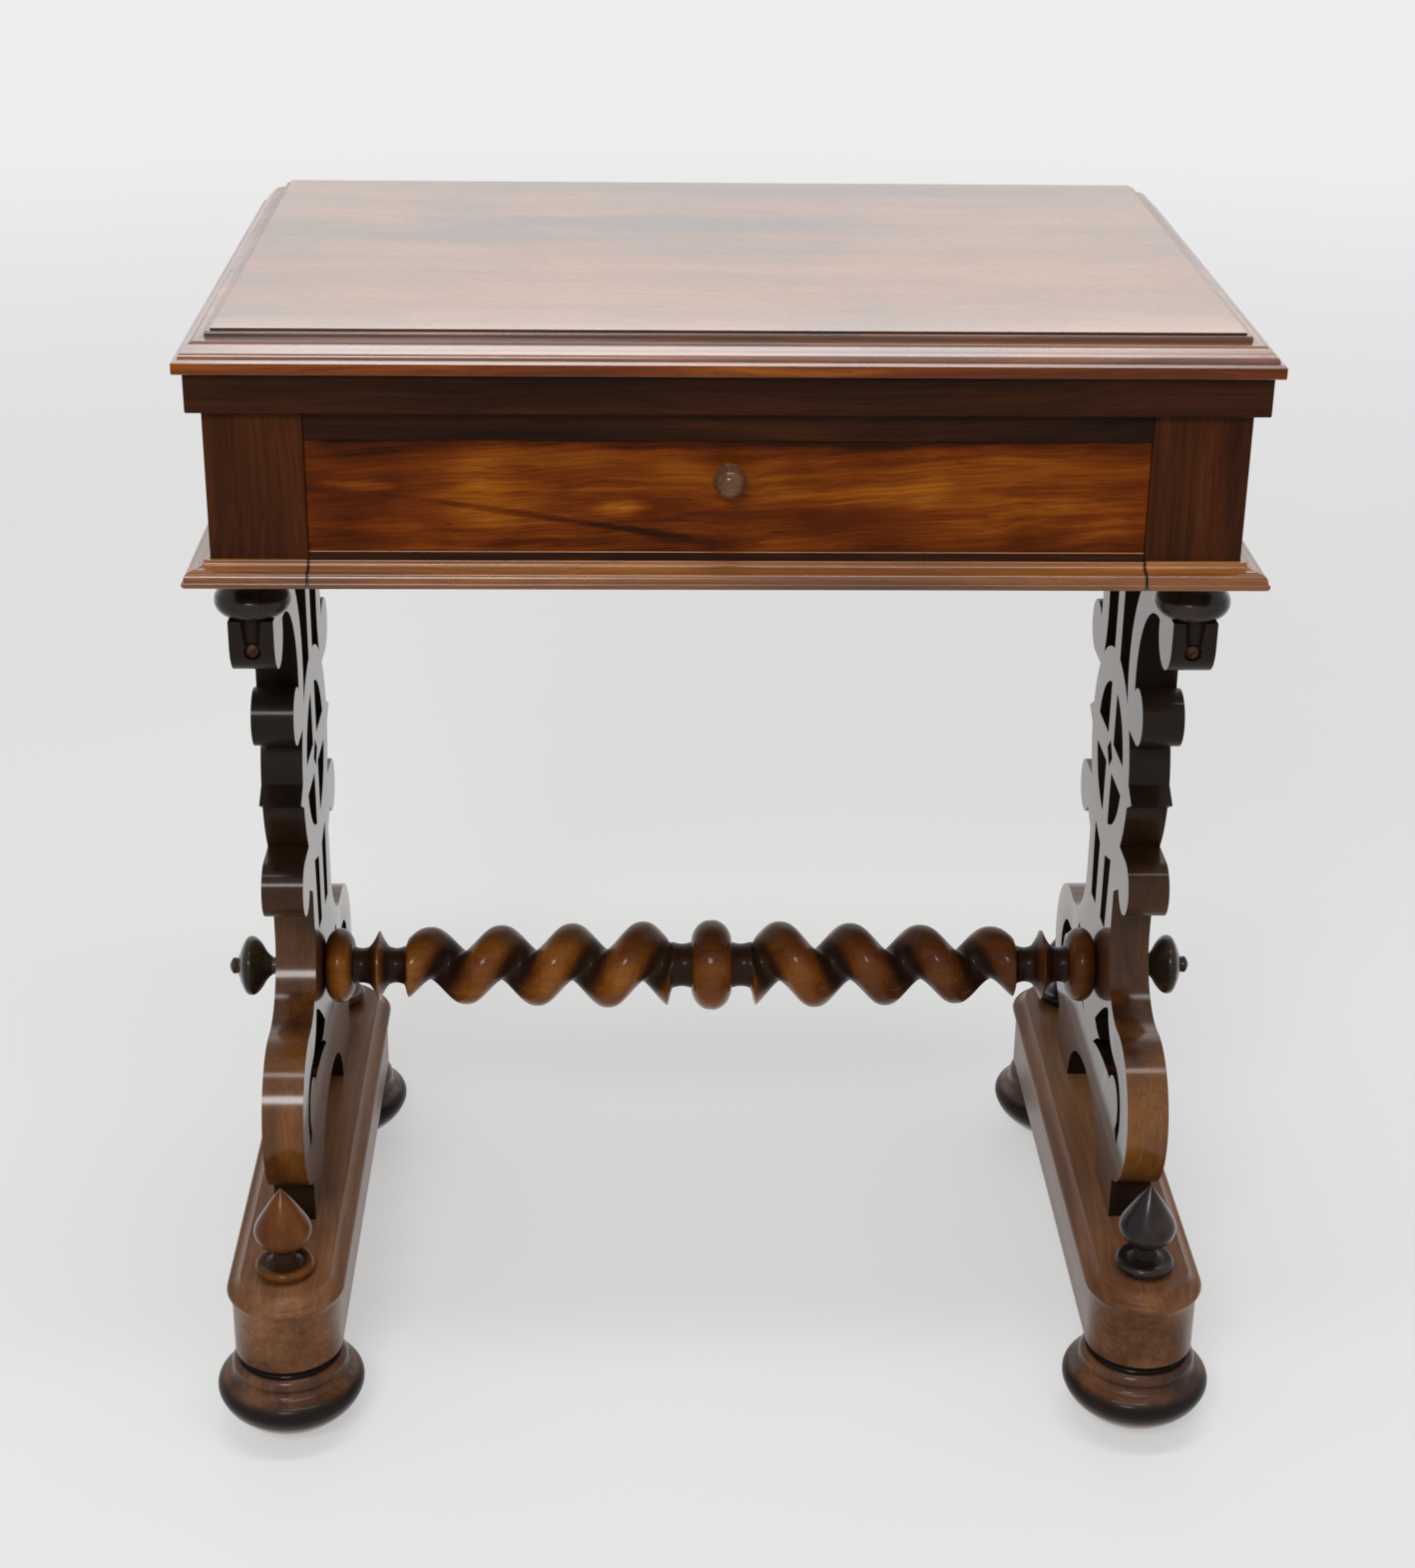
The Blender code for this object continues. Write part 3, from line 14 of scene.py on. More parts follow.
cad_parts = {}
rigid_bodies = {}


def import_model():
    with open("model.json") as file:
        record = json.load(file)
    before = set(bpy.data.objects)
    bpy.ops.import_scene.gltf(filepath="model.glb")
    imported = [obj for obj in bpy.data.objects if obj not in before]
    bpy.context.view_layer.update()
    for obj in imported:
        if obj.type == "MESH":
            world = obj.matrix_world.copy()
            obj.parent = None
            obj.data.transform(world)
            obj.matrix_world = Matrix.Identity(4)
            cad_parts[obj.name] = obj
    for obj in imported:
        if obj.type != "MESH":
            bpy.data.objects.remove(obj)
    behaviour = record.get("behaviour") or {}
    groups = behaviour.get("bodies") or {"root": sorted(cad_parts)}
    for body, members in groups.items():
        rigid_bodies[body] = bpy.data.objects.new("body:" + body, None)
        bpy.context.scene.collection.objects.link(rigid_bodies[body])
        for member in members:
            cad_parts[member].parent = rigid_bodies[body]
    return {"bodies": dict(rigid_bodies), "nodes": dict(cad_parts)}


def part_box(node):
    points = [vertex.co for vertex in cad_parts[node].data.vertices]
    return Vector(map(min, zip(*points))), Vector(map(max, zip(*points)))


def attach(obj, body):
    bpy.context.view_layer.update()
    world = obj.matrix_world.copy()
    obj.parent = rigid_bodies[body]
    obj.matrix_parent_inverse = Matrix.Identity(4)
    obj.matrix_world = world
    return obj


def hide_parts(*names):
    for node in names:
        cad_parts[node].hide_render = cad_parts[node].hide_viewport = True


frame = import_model()

LOG = logging.getLogger("games_table")
SIDES = (("left", -1), ("right", 1))
ENDS = (("front", -1), ("back", 1))
CORNERS = tuple((end, side) for side, _ in SIDES for end, _ in ENDS)
SQUARE = 0.99  # The share of a normal along an axis from which a face counts as square to it
RIGHT_ANGLE = math.pi / 2

Point = tuple[float, float]
Profile = list[Point]
Spot = tuple[float, float, float]
Colour = tuple[float, float, float]
Tones = tuple[tuple[float, Colour], ...]
Station = tuple[float, float, float, float]


# Drawing


def arc(centre: Point, radius: float, start: float, end: float, step: float = 5.0) -> Profile:
    """Points along an arc.

    Args:
        centre: The arc's centre.
        radius: Its radius.
        start: The angle it starts at, in degrees.
        end: The angle it ends at; a falling angle runs clockwise.
        step: The widest angle between two points.

    Returns:
        The points, both ends included.
    """
    count = max(2, math.ceil(abs(end - start) / step))
    angles = [math.radians(start + (end - start) * i / count) for i in range(count + 1)]
    return [(centre[0] + radius * math.cos(a), centre[1] + radius * math.sin(a)) for a in angles]


def bend(start: Point, control: Point, end: Point, steps: int = 12) -> Profile:
    """Points along a quadratic curve.

    Args:
        start: The first point.
        control: The corner that the curve leans towards.
        end: The last point.
        steps: How many lengths the curve is cut into.

    Returns:
        The points, both ends included.
    """
    points = []
    for i in range(steps + 1):
        t = i / steps
        weights = ((1 - t) ** 2, 2 * t * (1 - t), t**2)
        points.append(tuple(sum(w * p[k] for w, p in zip(weights, (start, control, end))) for k in (0, 1)))
    return points


def spline(knots: Sequence[float], t: float) -> float:
    """A smooth curve's value between the middle two of four knots.

    Args:
        knots: The four values.
        t: The share of the way from the second to the third.

    Returns:
        The value there.
    """
    a, b, c, d = knots
    square, cube = 2 * a - 5 * b + 4 * c - d, 3 * b - a - 3 * c + d
    return 0.5 * (2 * b + (c - a) * t + square * t**2 + cube * t**3)


def flow(points: Sequence[Point], steps: int = 6) -> Profile:
    """A smooth line through points, as a turner's chisel leaves it.

    Args:
        points: The points that the line passes through.
        steps: How many lengths each stretch between two points is cut into.

    Returns:
        The line's points, the given ones among them.
    """
    first = tuple(2 * a - b for a, b in zip(points[0], points[1]))
    last = tuple(2 * a - b for a, b in zip(points[-1], points[-2]))
    knots = [first, *points, last]
    line = []
    for near in zip(knots, knots[1:], knots[2:], knots[3:]):
        line += [tuple(spline(values, i / steps) for values in zip(*near)) for i in range(steps)]
    return line + [tuple(points[-1])]


def bearing(centre: Point, point: Point) -> float:
    """The direction from a centre to a point, in degrees."""
    return math.degrees(math.atan2(point[1] - centre[1], point[0] - centre[0]))


def crossing(centre_a: Point, radius_a: float, centre_b: Point, radius_b: float) -> Point:
    """Where two circles cross, on the left of the line between their centres.

    Args:
        centre_a: The first circle's centre.
        radius_a: Its radius.
        centre_b: The second circle's centre.
        radius_b: Its radius.

    Returns:
        The crossing point.
    """
    apart = math.dist(centre_a, centre_b)
    ahead = (radius_a**2 - radius_b**2 + apart**2) / (2 * apart)
    aside = math.sqrt(radius_a**2 - ahead**2)
    x, y = ((b - a) / apart for a, b in zip(centre_a, centre_b))
    return (centre_a[0] + ahead * x - aside * y, centre_a[1] + ahead * y + aside * x)


def scaled(points: Sequence[Point], across: float, up: float) -> Profile:
    """Points given as shares of a width and a height, in metres."""
    return [(across * x, up * y) for x, y in points]


def smooth_step(low: float, high: float, value: float) -> float:
    """0 below low, 1 above high and an easy rise between them."""
    t = min(1.0, max(0.0, (value - low) / (high - low)))
    return t * t * (3 - 2 * t)


# Shaders


class Level:
    """A number that varies over a surface: one socket, used in ordinary arithmetic."""

    def __init__(self, shade: "Shade", socket: bpy.types.NodeSocket) -> None:
        """Keeps a socket with the material that it belongs to."""
        self.shade = shade
        self.socket = socket

    def math(self, operation: str, *operands: "Level | float") -> "Level":
        """Adds a Math node.

        Args:
            operation: The node's operation.
            operands: Its inputs, in order.

        Returns:
            The node's result.
        """
        node = self.shade.node("ShaderNodeMath", {"operation": operation}, dict(enumerate(operands)))
        return Level(self.shade, node.outputs[0])

    def __add__(self, other: "Level | float") -> "Level":
        """The sum."""
        return self.math("ADD", self, other)

    def __radd__(self, other: float) -> "Level":
        """The sum, with the number first."""
        return self.math("ADD", other, self)

    def __sub__(self, other: "Level | float") -> "Level":
        """The difference."""
        return self.math("SUBTRACT", self, other)

    def __rsub__(self, other: float) -> "Level":
        """The difference, with the number first."""
        return self.math("SUBTRACT", other, self)

    def __mul__(self, other: "Level | float") -> "Level":
        """The product."""
        return self.math("MULTIPLY", self, other)

    def __rmul__(self, other: float) -> "Level":
        """The product, with the number first."""
        return self.math("MULTIPLY", other, self)

    def between(self, low: float, high: float) -> "Level":
        """0 below low, 1 above high and an easy rise between them.

        Args:
            low: Where the rise starts.
            high: Where it ends; below low it is a fall.

        Returns:
            The eased level.
        """
        settings = {"interpolation_type": "SMOOTHSTEP"}
        inputs = {"Value": self, "From Min": low, "From Max": high}
        return Level(self.shade, self.shade.node("ShaderNodeMapRange", settings, inputs).outputs["Result"])


class Shade:
    """The nodes of one material or of the world."""

    def __init__(self, owner: bpy.types.Material | bpy.types.World) -> None:
        """Empties the owner's node tree.

        Args:
            owner: The material or the world.
        """
        owner.use_nodes = True
        self.tree = owner.node_tree
        self.tree.nodes.clear()

    def node(self, kind: str, settings: dict | None = None, inputs: dict | None = None) -> bpy.types.Node:
        """Adds a node.

        Args:
            kind: The node's type.
            settings: Properties that are set first; a ramp's stops are (place, colour) pairs.
            inputs: Values, sockets or levels by the name or number of the socket that takes them.

        Returns:
            The new node.
        """
        node = self.tree.nodes.new(kind)
        for name, value in (settings or {}).items():
            if name == "stops":
                self._set_stops(node.color_ramp, value)
            else:
                setattr(node, name, value)
        for key, value in (inputs or {}).items():
            if isinstance(value, Level):
                value = value.socket
            if isinstance(value, bpy.types.NodeSocket):
                self.tree.links.new(value, node.inputs[key])
            else:
                node.inputs[key].default_value = value
        return node

    @staticmethod
    def _set_stops(ramp: bpy.types.ColorRamp, stops: Sequence[tuple[float, Colour]]) -> None:
        """Gives a ramp its stops.

        Args:
            ramp: The ramp.
            stops: The place and the colour of each stop, from low to high.
        """
        while len(ramp.elements) < len(stops):
            ramp.elements.new(1.0)
        for element, (place, colour) in zip(ramp.elements, stops):
            element.position = place
            element.color = (*colour, 1.0)

    def level(
        self, kind: str, output: str, settings: dict | None = None, inputs: dict | None = None
    ) -> Level:
        """Adds a node and takes one of its outputs as a level.

        Args:
            kind: The node's type.
            output: The name of the output.
            settings: Properties that are set first.
            inputs: Values, sockets or levels of its sockets.

        Returns:
            The output.
        """
        return Level(self, self.node(kind, settings, inputs).outputs[output])

    def mix(
        self,
        share: Level | float,
        first: Colour | bpy.types.NodeSocket,
        second: Colour,
        blend: str = "MIX",
    ) -> bpy.types.NodeSocket:
        """Mixes two colours.

        Args:
            share: How much of the second one shows.
            first: A colour or a colour socket.
            second: A colour.
            blend: How the second one is laid over the first.

        Returns:
            The mixed colour.
        """
        settings = {"data_type": "RGBA", "blend_type": blend}
        if isinstance(first, tuple):
            first = (*first, 1.0)
        return self.node("ShaderNodeMix", settings, {0: share, 6: first, 7: (*second, 1.0)}).outputs[2]

    def place(self) -> bpy.types.NodeSocket:
        """The place on the object."""
        return self.node("ShaderNodeTexCoord").outputs["Object"]

    def stretched(self, place: bpy.types.NodeSocket, scale: Sequence[float]) -> bpy.types.NodeSocket:
        """A place multiplied by a scale on each axis."""
        return self.node("ShaderNodeVectorMath", {"operation": "MULTIPLY"}, {0: place, 1: scale}).outputs[0]

    def noise(
        self, place: bpy.types.NodeSocket, scale: Sequence[float], detail: float, rough: float = 0.55
    ) -> Level:
        """Noise with a size of its own on each axis.

        Args:
            place: The place that it is read at.
            scale: How many features it has in a metre, on each axis.
            detail: How many finer layers it has.
            rough: How strong these are.

        Returns:
            The noise, about 0.5 on average.
        """
        inputs = {"Vector": self.stretched(place, scale), "Scale": 1.0, "Detail": detail, "Roughness": rough}
        return self.level("ShaderNodeTexNoise", "Fac", None, inputs)

    def surface(self, shader: bpy.types.NodeSocket, output: str = "ShaderNodeOutputMaterial") -> None:
        """Ends the tree with a surface."""
        self.node(output, None, {"Surface": shader})


class Grain(Enum):
    """The axis that the grain of a piece runs along, as the turn that brings it to X."""

    ACROSS = (0.0, 0.0, 0.0)
    ALONG = (0.0, 0.0, -RIGHT_ANGLE)
    UP = (0.0, RIGHT_ANGLE, 0.0)


@dataclass(frozen=True)
class Polish:
    """The clear polish over a timber.

    Attributes:
        coat: How much it shows when seen along the surface.
        face_on: How much it shows when seen face on.
        coat_ior: How strongly it mirrors.
        coat_roughness: How soft its reflections are.
        specular: The shine of the timber under it.
        roughness: How rough the timber under it is.
    """

    coat: float
    face_on: float
    coat_ior: float
    coat_roughness: float
    specular: float
    roughness: float


@dataclass(frozen=True)
class Blotch:
    """A dark or pale patch in a veneer, or a band of painted shadow.

    Attributes:
        centre: Its middle on the piece, in metres.
        reach: How far it runs on each axis, in metres.
        tone: How far it moves the tone; below 0 it darkens.
        turn: How it is turned, in radians about each axis.
    """

    centre: Spot
    reach: Spot
    tone: float
    turn: Spot = (0.0, 0.0, 0.0)


@dataclass(frozen=True)
class Finish:
    """What a surface is made of.

    Attributes:
        name: The material's name.
    """

    name: str

    def material(self) -> bpy.types.Material:
        """Makes the material, or finds it if it is made.

        Returns:
            The material.
        """
        made = bpy.data.materials.get(self.name)
        if not made:
            made = bpy.data.materials.new(self.name)
            shade = Shade(made)
            shade.surface(shade.node("ShaderNodeBsdfPrincipled", None, self.inputs(shade)).outputs[0])
        return made

    def inputs(self, shade: Shade) -> dict[str, object]:
        """What the sockets of the surface's shader take, by their names."""
        raise NotImplementedError


@dataclass(frozen=True)
class Timber(Finish):
    """A figured timber under polish, with the streaks, growth lines, fine grain and pores of every piece.

    Attributes:
        tones: Its colours from the darkest streak to the palest, with their places on the scale of tones.
        grain: The axis that its grain runs along.
        polish: The polish over it.
        width: How many streaks lie in a metre across the grain.
        length: How many changes a streak has in a metre along the grain.
        waver: How far streaks swing from their line, in metres.
        rings: How strongly the fine growth lines show.
        fleck: How strongly the fine grain and the pores show.
        shift: Where in the log the piece was cut from.
        blotches: Patches of the veneer that are seen on the real piece, and bands of painted shadow.
        shade: The colour that the piece is darkened towards where its own attribute marks it, mostly as
            painted shade in hollows, gaps and openings.
        darkening_share: How much of that colour shows.
        dull: How much of the polish is taken away where the piece is darkened, so that the painted shade also
            dims its reflections.
        lean: The slope of the grain on the piece, in radians about each axis.
    """

    # Features in a metre on each axis, X along the grain
    FINE = (9.0, 430.0, 430.0)
    PORES = (55.0, 1500.0, 1500.0)
    RAGGED = (30.0, 90.0, 90.0)
    # Features along and across the grain, as shares of a streak's
    SWING = (2.2, 0.35)
    STREAKS = (1.0, 1.0)
    CLOUD = (2.5, 0.25)
    LINES_LENGTH = 0.8
    LINES_WIDTH = 9.0
    # How far streaks, clouds and growth lines move the tone
    CONTRAST = (1.5, 0.7, 4.0)
    PORE_RISE = (0.60, 0.70)
    PORE_TINT = (0.25, 0.18, 0.15)
    PORE_SHARE = 1.4
    FLECK_FALL = (0.62, 0.38)
    FLECK_TINT = (0.35, 0.28, 0.24)
    PATCH_FALL = (1.05, 0.2)
    PATCH_RAGGED = 1.2
    # How much rougher the fine grain and the pores are
    ROUGHER = (0.10, 0.12)
    GLANCING = (0.40, 0.80)
    BUMP = {"Strength": 0.10, "Distance": 0.0003}
    FINE_RISE = 0.4

    tones: Tones
    grain: Grain
    polish: Polish
    width: float = 22.0
    length: float = 1.6
    waver: float = 0.02
    rings: float = 0.16
    fleck: float = 0.35
    shift: Spot = (0.0, 0.0, 0.0)
    blotches: tuple[Blotch, ...] = ()
    shade: Colour = (0.010, 0.006, 0.005)
    darkening_share: float = 1.0
    dull: float = 0.65
    lean: Spot = (0.0, 0.0, 0.0)

    def inputs(self, shade: Shade) -> dict[str, object]:
        """The colour, the bump of grain and pores, and the polish.

        Args:
            shade: The material's nodes.

        Returns:
            What the sockets take, by their names.
        """
        polish = self.polish
        place = self._place(shade)
        fine = shade.noise(place, self.FINE, 3.0, 0.6)
        pores = shade.noise(place, self.PORES, 2.0).between(*self.PORE_RISE)
        # How far the piece is darkened, mostly painted shade in hollows, gaps and openings; it also dims the
        # polish
        darkening = self.darkening_share * shade.level("ShaderNodeAttribute", "Fac", {"attribute_name": Piece.DARKENING_ATTRIBUTE})
        colour = shade.mix(darkening, self._colour(shade, place, fine, pores), self.shade)
        rough = polish.roughness + self.ROUGHER[0] * (fine - 0.5) + self.ROUGHER[1] * pores
        bump = shade.node("ShaderNodeBump", None, {**self.BUMP, "Height": fine * self.FINE_RISE - pores})
        facing = shade.level("ShaderNodeLayerWeight", "Facing", None, {"Blend": 0.5})
        coat = polish.face_on + (polish.coat - polish.face_on) * facing.between(*self.GLANCING)
        return {
            "Base Color": colour,
            "Roughness": rough,
            "Normal": bump.outputs[0],
            "Specular IOR Level": polish.specular,
            "Coat Weight": coat * (1.0 - self.dull * darkening),
            "Coat IOR": polish.coat_ior,
            "Coat Roughness": polish.coat_roughness,
        }

    def _sized(self, shares: Point) -> Spot:
        """Features in a metre on each axis, from shares of a streak's along and across the grain."""
        along, across = shares[0] * self.length, shares[1] * self.width
        return (along, across, across)

    def _place(self, shade: Shade) -> bpy.types.NodeSocket:
        """The place in the log, with X along the grain and the streaks' swing added.

        Args:
            shade: The material's nodes.

        Returns:
            The place.
        """
        turn = [a + b for a, b in zip(self.grain.value, self.lean)]
        inputs = {"Vector": shade.place(), "Location": self.shift, "Rotation": turn}
        turned = shade.node("ShaderNodeMapping", {"vector_type": "POINT"}, inputs).outputs[0]
        inputs = {"Vector": shade.stretched(turned, self._sized(self.SWING)), "Scale": 1.0, "Detail": 2.0}
        swing = shade.node("ShaderNodeTexNoise", None, inputs).outputs["Color"]
        inputs = {0: swing, 1: (0.5, 0.5, 0.5)}
        middle = shade.node("ShaderNodeVectorMath", {"operation": "SUBTRACT"}, inputs).outputs[0]
        moved = shade.stretched(middle, (0.0, 2 * self.waver, 2 * self.waver))
        return shade.node("ShaderNodeVectorMath", {"operation": "ADD"}, {0: turned, 1: moved}).outputs[0]

    def _colour(
        self, shade: Shade, place: bpy.types.NodeSocket, fine: Level, pores: Level
    ) -> bpy.types.NodeSocket:
        """The timber's colour: streaks, growth lines, patches, fine grain and pores.

        Args:
            shade: The material's nodes.
            place: The place in the log.
            fine: The fine grain.
            pores: Where the pores are.

        Returns:
            The colour.
        """
        streaks = shade.noise(place, self._sized(self.STREAKS), 4.0, 0.6)
        cloud = shade.noise(place, self._sized(self.CLOUD), 2.0)
        across = self.LINES_WIDTH * self.width
        lines = shade.noise(place, (self.LINES_LENGTH, across, across), 3.0, 0.65)
        by_streak, by_cloud, by_line = self.CONTRAST
        tone = 0.5 + by_streak * (streaks - 0.5) + by_cloud * (cloud - 0.5)
        tone = tone + self.rings * by_line * (lines - 0.5)
        for blotch in self.blotches:
            tone = tone + self._patch(shade, blotch)
        ramp = shade.node("ShaderNodeValToRGB", {"stops": self.tones}, {"Fac": tone})
        flecked = self.fleck * fine.between(*self.FLECK_FALL)
        colour = shade.mix(flecked, ramp.outputs[0], self.FLECK_TINT, "MULTIPLY")
        return shade.mix(self.PORE_SHARE * self.fleck * pores, colour, self.PORE_TINT, "MULTIPLY")

    def _patch(self, shade: Shade, blotch: Blotch) -> Level:
        """How far a patch moves the tone at each place.

        Args:
            shade: The material's nodes.
            blotch: The patch.

        Returns:
            Its share of the tone.
        """
        place = shade.place()
        inputs = {"Vector": place, "Location": blotch.centre, "Rotation": blotch.turn, "Scale": blotch.reach}
        spread = shade.node("ShaderNodeMapping", {"vector_type": "TEXTURE"}, inputs).outputs[0]
        ragged = shade.noise(place, self.RAGGED, 3.0)
        far = shade.level("ShaderNodeVectorMath", "Value", {"operation": "LENGTH"}, {0: spread})
        return blotch.tone * (far + self.PATCH_RAGGED * (ragged - 0.5)).between(*self.PATCH_FALL)


@dataclass(frozen=True)
class Metal(Finish):
    """A metal that has dulled with age.

    Attributes:
        bright: Its colour where it is rubbed.
        dull: Its colour where it has tarnished.
        roughness: How rough it is.
    """

    SPOTS = (160.0, 160.0, 160.0)
    SPOT_RISE = (0.40, 0.66)
    STROKES = (1800.0, 240.0, 1800.0)
    # How much rougher the tarnish and the strokes are
    ROUGHER = (0.18, 0.10)

    bright: Colour
    dull: Colour
    roughness: float

    def inputs(self, shade: Shade) -> dict[str, object]:
        """The bright and the tarnished metal, with the strokes of its working.

        Args:
            shade: The material's nodes.

        Returns:
            What the sockets take, by their names.
        """
        place = shade.place()
        tarnish = shade.noise(place, self.SPOTS, 4.0).between(*self.SPOT_RISE)
        strokes = shade.noise(place, self.STROKES, 2.0)
        by_tarnish, by_stroke = self.ROUGHER
        return {
            "Base Color": shade.mix(tarnish, self.bright, self.dull),
            "Metallic": 1.0,
            "Roughness": self.roughness + by_tarnish * tarnish + by_stroke * (strokes - 0.5),
        }


@dataclass(frozen=True)
class Felt(Finish):
    """The baize of the playing surface: short matted wool.

    Attributes:
        colour: Its colour.
        worn: Its colour where it has faded.
    """

    FIBRES = (1500.0, 1900.0, 900.0)
    FIBRE_FALL = (0.65, 0.35)
    FIBRE_TINT = (0.45, 0.55, 0.45)
    FIBRE_SHARE = 0.55
    FADE = (5.0, 6.0, 5.0)
    FADE_RISE = (0.42, 0.70)
    BUMP = {"Strength": 0.35, "Distance": 0.0006}
    MATT = {"Roughness": 0.92, "Sheen Weight": 0.25}

    colour: Colour
    worn: Colour

    def inputs(self, shade: Shade) -> dict[str, object]:
        """The dyed wool, its faded patches and its fibres.

        Args:
            shade: The material's nodes.

        Returns:
            What the sockets take, by their names.
        """
        place = shade.place()
        fibres = shade.noise(place, self.FIBRES, 3.0, 0.7)
        fade = shade.noise(place, self.FADE, 3.0).between(*self.FADE_RISE)
        base = shade.mix(fade, self.colour, self.worn)
        gaps = self.FIBRE_SHARE * fibres.between(*self.FIBRE_FALL)
        colour = shade.mix(gaps, base, self.FIBRE_TINT, "MULTIPLY")
        bump = shade.node("ShaderNodeBump", None, {**self.BUMP, "Height": fibres})
        return {**self.MATT, "Base Color": colour, "Normal": bump.outputs[0]}


RICH: Tones = (
    (0.15, (0.028, 0.007, 0.001)),
    (0.38, (0.094, 0.017, 0.001)),
    (0.58, (0.158, 0.032, 0.002)),
    (0.80, (0.265, 0.074, 0.004)),
    (0.98, (0.400, 0.145, 0.010)),
)
TAWNY: Tones = (
    (0.15, (0.050, 0.014, 0.004)),
    (0.40, (0.130, 0.036, 0.006)),
    (0.60, (0.200, 0.062, 0.008)),
    (0.85, (0.300, 0.110, 0.014)),
)
FADED: Tones = (
    (0.15, (0.110, 0.046, 0.022)),
    (0.40, (0.230, 0.080, 0.020)),
    (0.60, (0.330, 0.118, 0.026)),
    (0.85, (0.430, 0.168, 0.038)),
)
WARM: Tones = (
    (0.20, (0.060, 0.020, 0.010)),
    (0.45, (0.150, 0.048, 0.019)),
    (0.65, (0.230, 0.080, 0.030)),
    (0.85, (0.320, 0.125, 0.050)),
)
HONEY: Tones = (
    (0.15, (0.100, 0.033, 0.008)),
    (0.45, (0.205, 0.067, 0.012)),
    (0.70, (0.280, 0.097, 0.017)),
    (0.90, (0.355, 0.138, 0.028)),
)
CHESTNUT: Tones = (
    (0.20, (0.040, 0.014, 0.004)),
    (0.50, (0.125, 0.042, 0.008)),
    (0.80, (0.200, 0.076, 0.014)),
)
UMBER: Tones = (
    (0.20, (0.074, 0.030, 0.014)),
    (0.50, (0.155, 0.067, 0.030)),
    (0.80, (0.250, 0.117, 0.054)),
)
BROWN: Tones = (
    (0.20, (0.035, 0.014, 0.008)),
    (0.50, (0.090, 0.036, 0.016)),
    (0.80, (0.160, 0.065, 0.028)),
)
RUSSET: Tones = (
    (0.20, (0.034, 0.010, 0.002)),
    (0.50, (0.088, 0.026, 0.004)),
    (0.80, (0.140, 0.046, 0.007)),
)
BRONZE_BROWN: Tones = (
    (0.20, (0.014, 0.010, 0.006)),
    (0.50, (0.034, 0.024, 0.013)),
    (0.80, (0.070, 0.048, 0.026)),
)
DARK: Tones = (
    (0.20, (0.018, 0.006, 0.003)),
    (0.50, (0.050, 0.014, 0.004)),
    (0.80, (0.092, 0.025, 0.006)),
)
SOMBRE: Tones = (
    (0.20, (0.012, 0.005, 0.003)),
    (0.50, (0.030, 0.010, 0.004)),
    (0.80, (0.060, 0.018, 0.006)),
)
BLACKENED: Tones = (
    (0.25, (0.006, 0.005, 0.005)),
    (0.60, (0.013, 0.010, 0.009)),
    (0.85, (0.030, 0.019, 0.014)),
)
SMOKED: Tones = (
    (0.25, (0.009, 0.006, 0.004)),
    (0.60, (0.020, 0.012, 0.008)),
    (0.85, (0.042, 0.024, 0.015)),
)
PALE: Tones = (
    (0.20, (0.210, 0.115, 0.052)),
    (0.55, (0.340, 0.205, 0.100)),
    (0.85, (0.430, 0.280, 0.150)),
)
GLASSY = Polish(1.0, 0.5, 1.55, 0.08, 0.4, 0.28)
EDGEWISE = Polish(1.0, 0.15, 1.6, 0.08, 0.08, 0.42)
BURNISHED = Polish(1.0, 0.95, 1.7, 0.20, 0.10, 0.38)
RUBBED = Polish(1.0, 0.60, 1.6, 0.20, 0.10, 0.38)
SHARP = Polish(1.0, 0.30, 1.5, 0.12, 0.10, 0.38)
SATIN = Polish(0.9, 0.30, 1.45, 0.12, 0.08, 0.42)
TURNED = Polish(0.9, 0.20, 1.5, 0.13, 0.04, 0.42)
GLOSSY = Polish(1.0, 0.55, 1.5, 0.15, 0.05, 0.42)
LACQUER = Polish(0.9, 0.30, 1.6, 0.15, 0.10, 0.34)
WORN = Polish(0.75, 0.12, 1.45, 0.28, 0.04, 0.50)
SOFT = Polish(0.6, 0.08, 1.4, 0.15, 0.03, 0.50)
BARE = Polish(0.0, 0.0, 1.4, 0.3, 0.3, 0.62)

TOP_FIELD = Timber(
    "top_field_veneer",
    FADED,
    Grain.ACROSS,
    GLASSY,
    width=15.0,
    length=2.6,
    waver=0.035,
    rings=0.07,
    shift=(0.3, 0.7, 0.0),
    blotches=(
        Blotch((-0.02, 0.078, 0.720), (0.17, 0.030, 0.1), -0.42),
        Blotch((-0.15, 0.075, 0.720), (0.06, 0.09, 0.1), -0.24, (0.0, 0.0, 0.5)),
        Blotch((0.20, 0.125, 0.720), (0.10, 0.03, 0.1), -0.22),
        Blotch((0.03, 0.185, 0.720), (0.30, 0.03, 0.1), -0.18),
        Blotch((0.14, -0.02, 0.720), (0.16, 0.08, 0.1), 0.16),
        Blotch((-0.10, -0.13, 0.720), (0.24, 0.05, 0.1), 0.14),
    ),
)
TOP_EDGE = Timber(
    "top_edge_timber", WARM, Grain.ACROSS, BURNISHED, width=40.0, rings=0.08, shift=(1.1, 0.2, 0.4)
)
TOP_NOSE = Timber(
    "top_nose_timber", RICH, Grain.ACROSS, SATIN, width=40.0, rings=0.08, shift=(0.9, 0.5, 0.2)
)
BAND = Timber("band_timber", SOMBRE, Grain.ACROSS, SOFT, width=30.0, rings=0.08, shift=(0.5, 0.1, 0.9))
STRIP = Timber("strip_timber", SOMBRE, Grain.ACROSS, SOFT, width=60.0, rings=0.08, shift=(0.7, 0.4, 0.3))
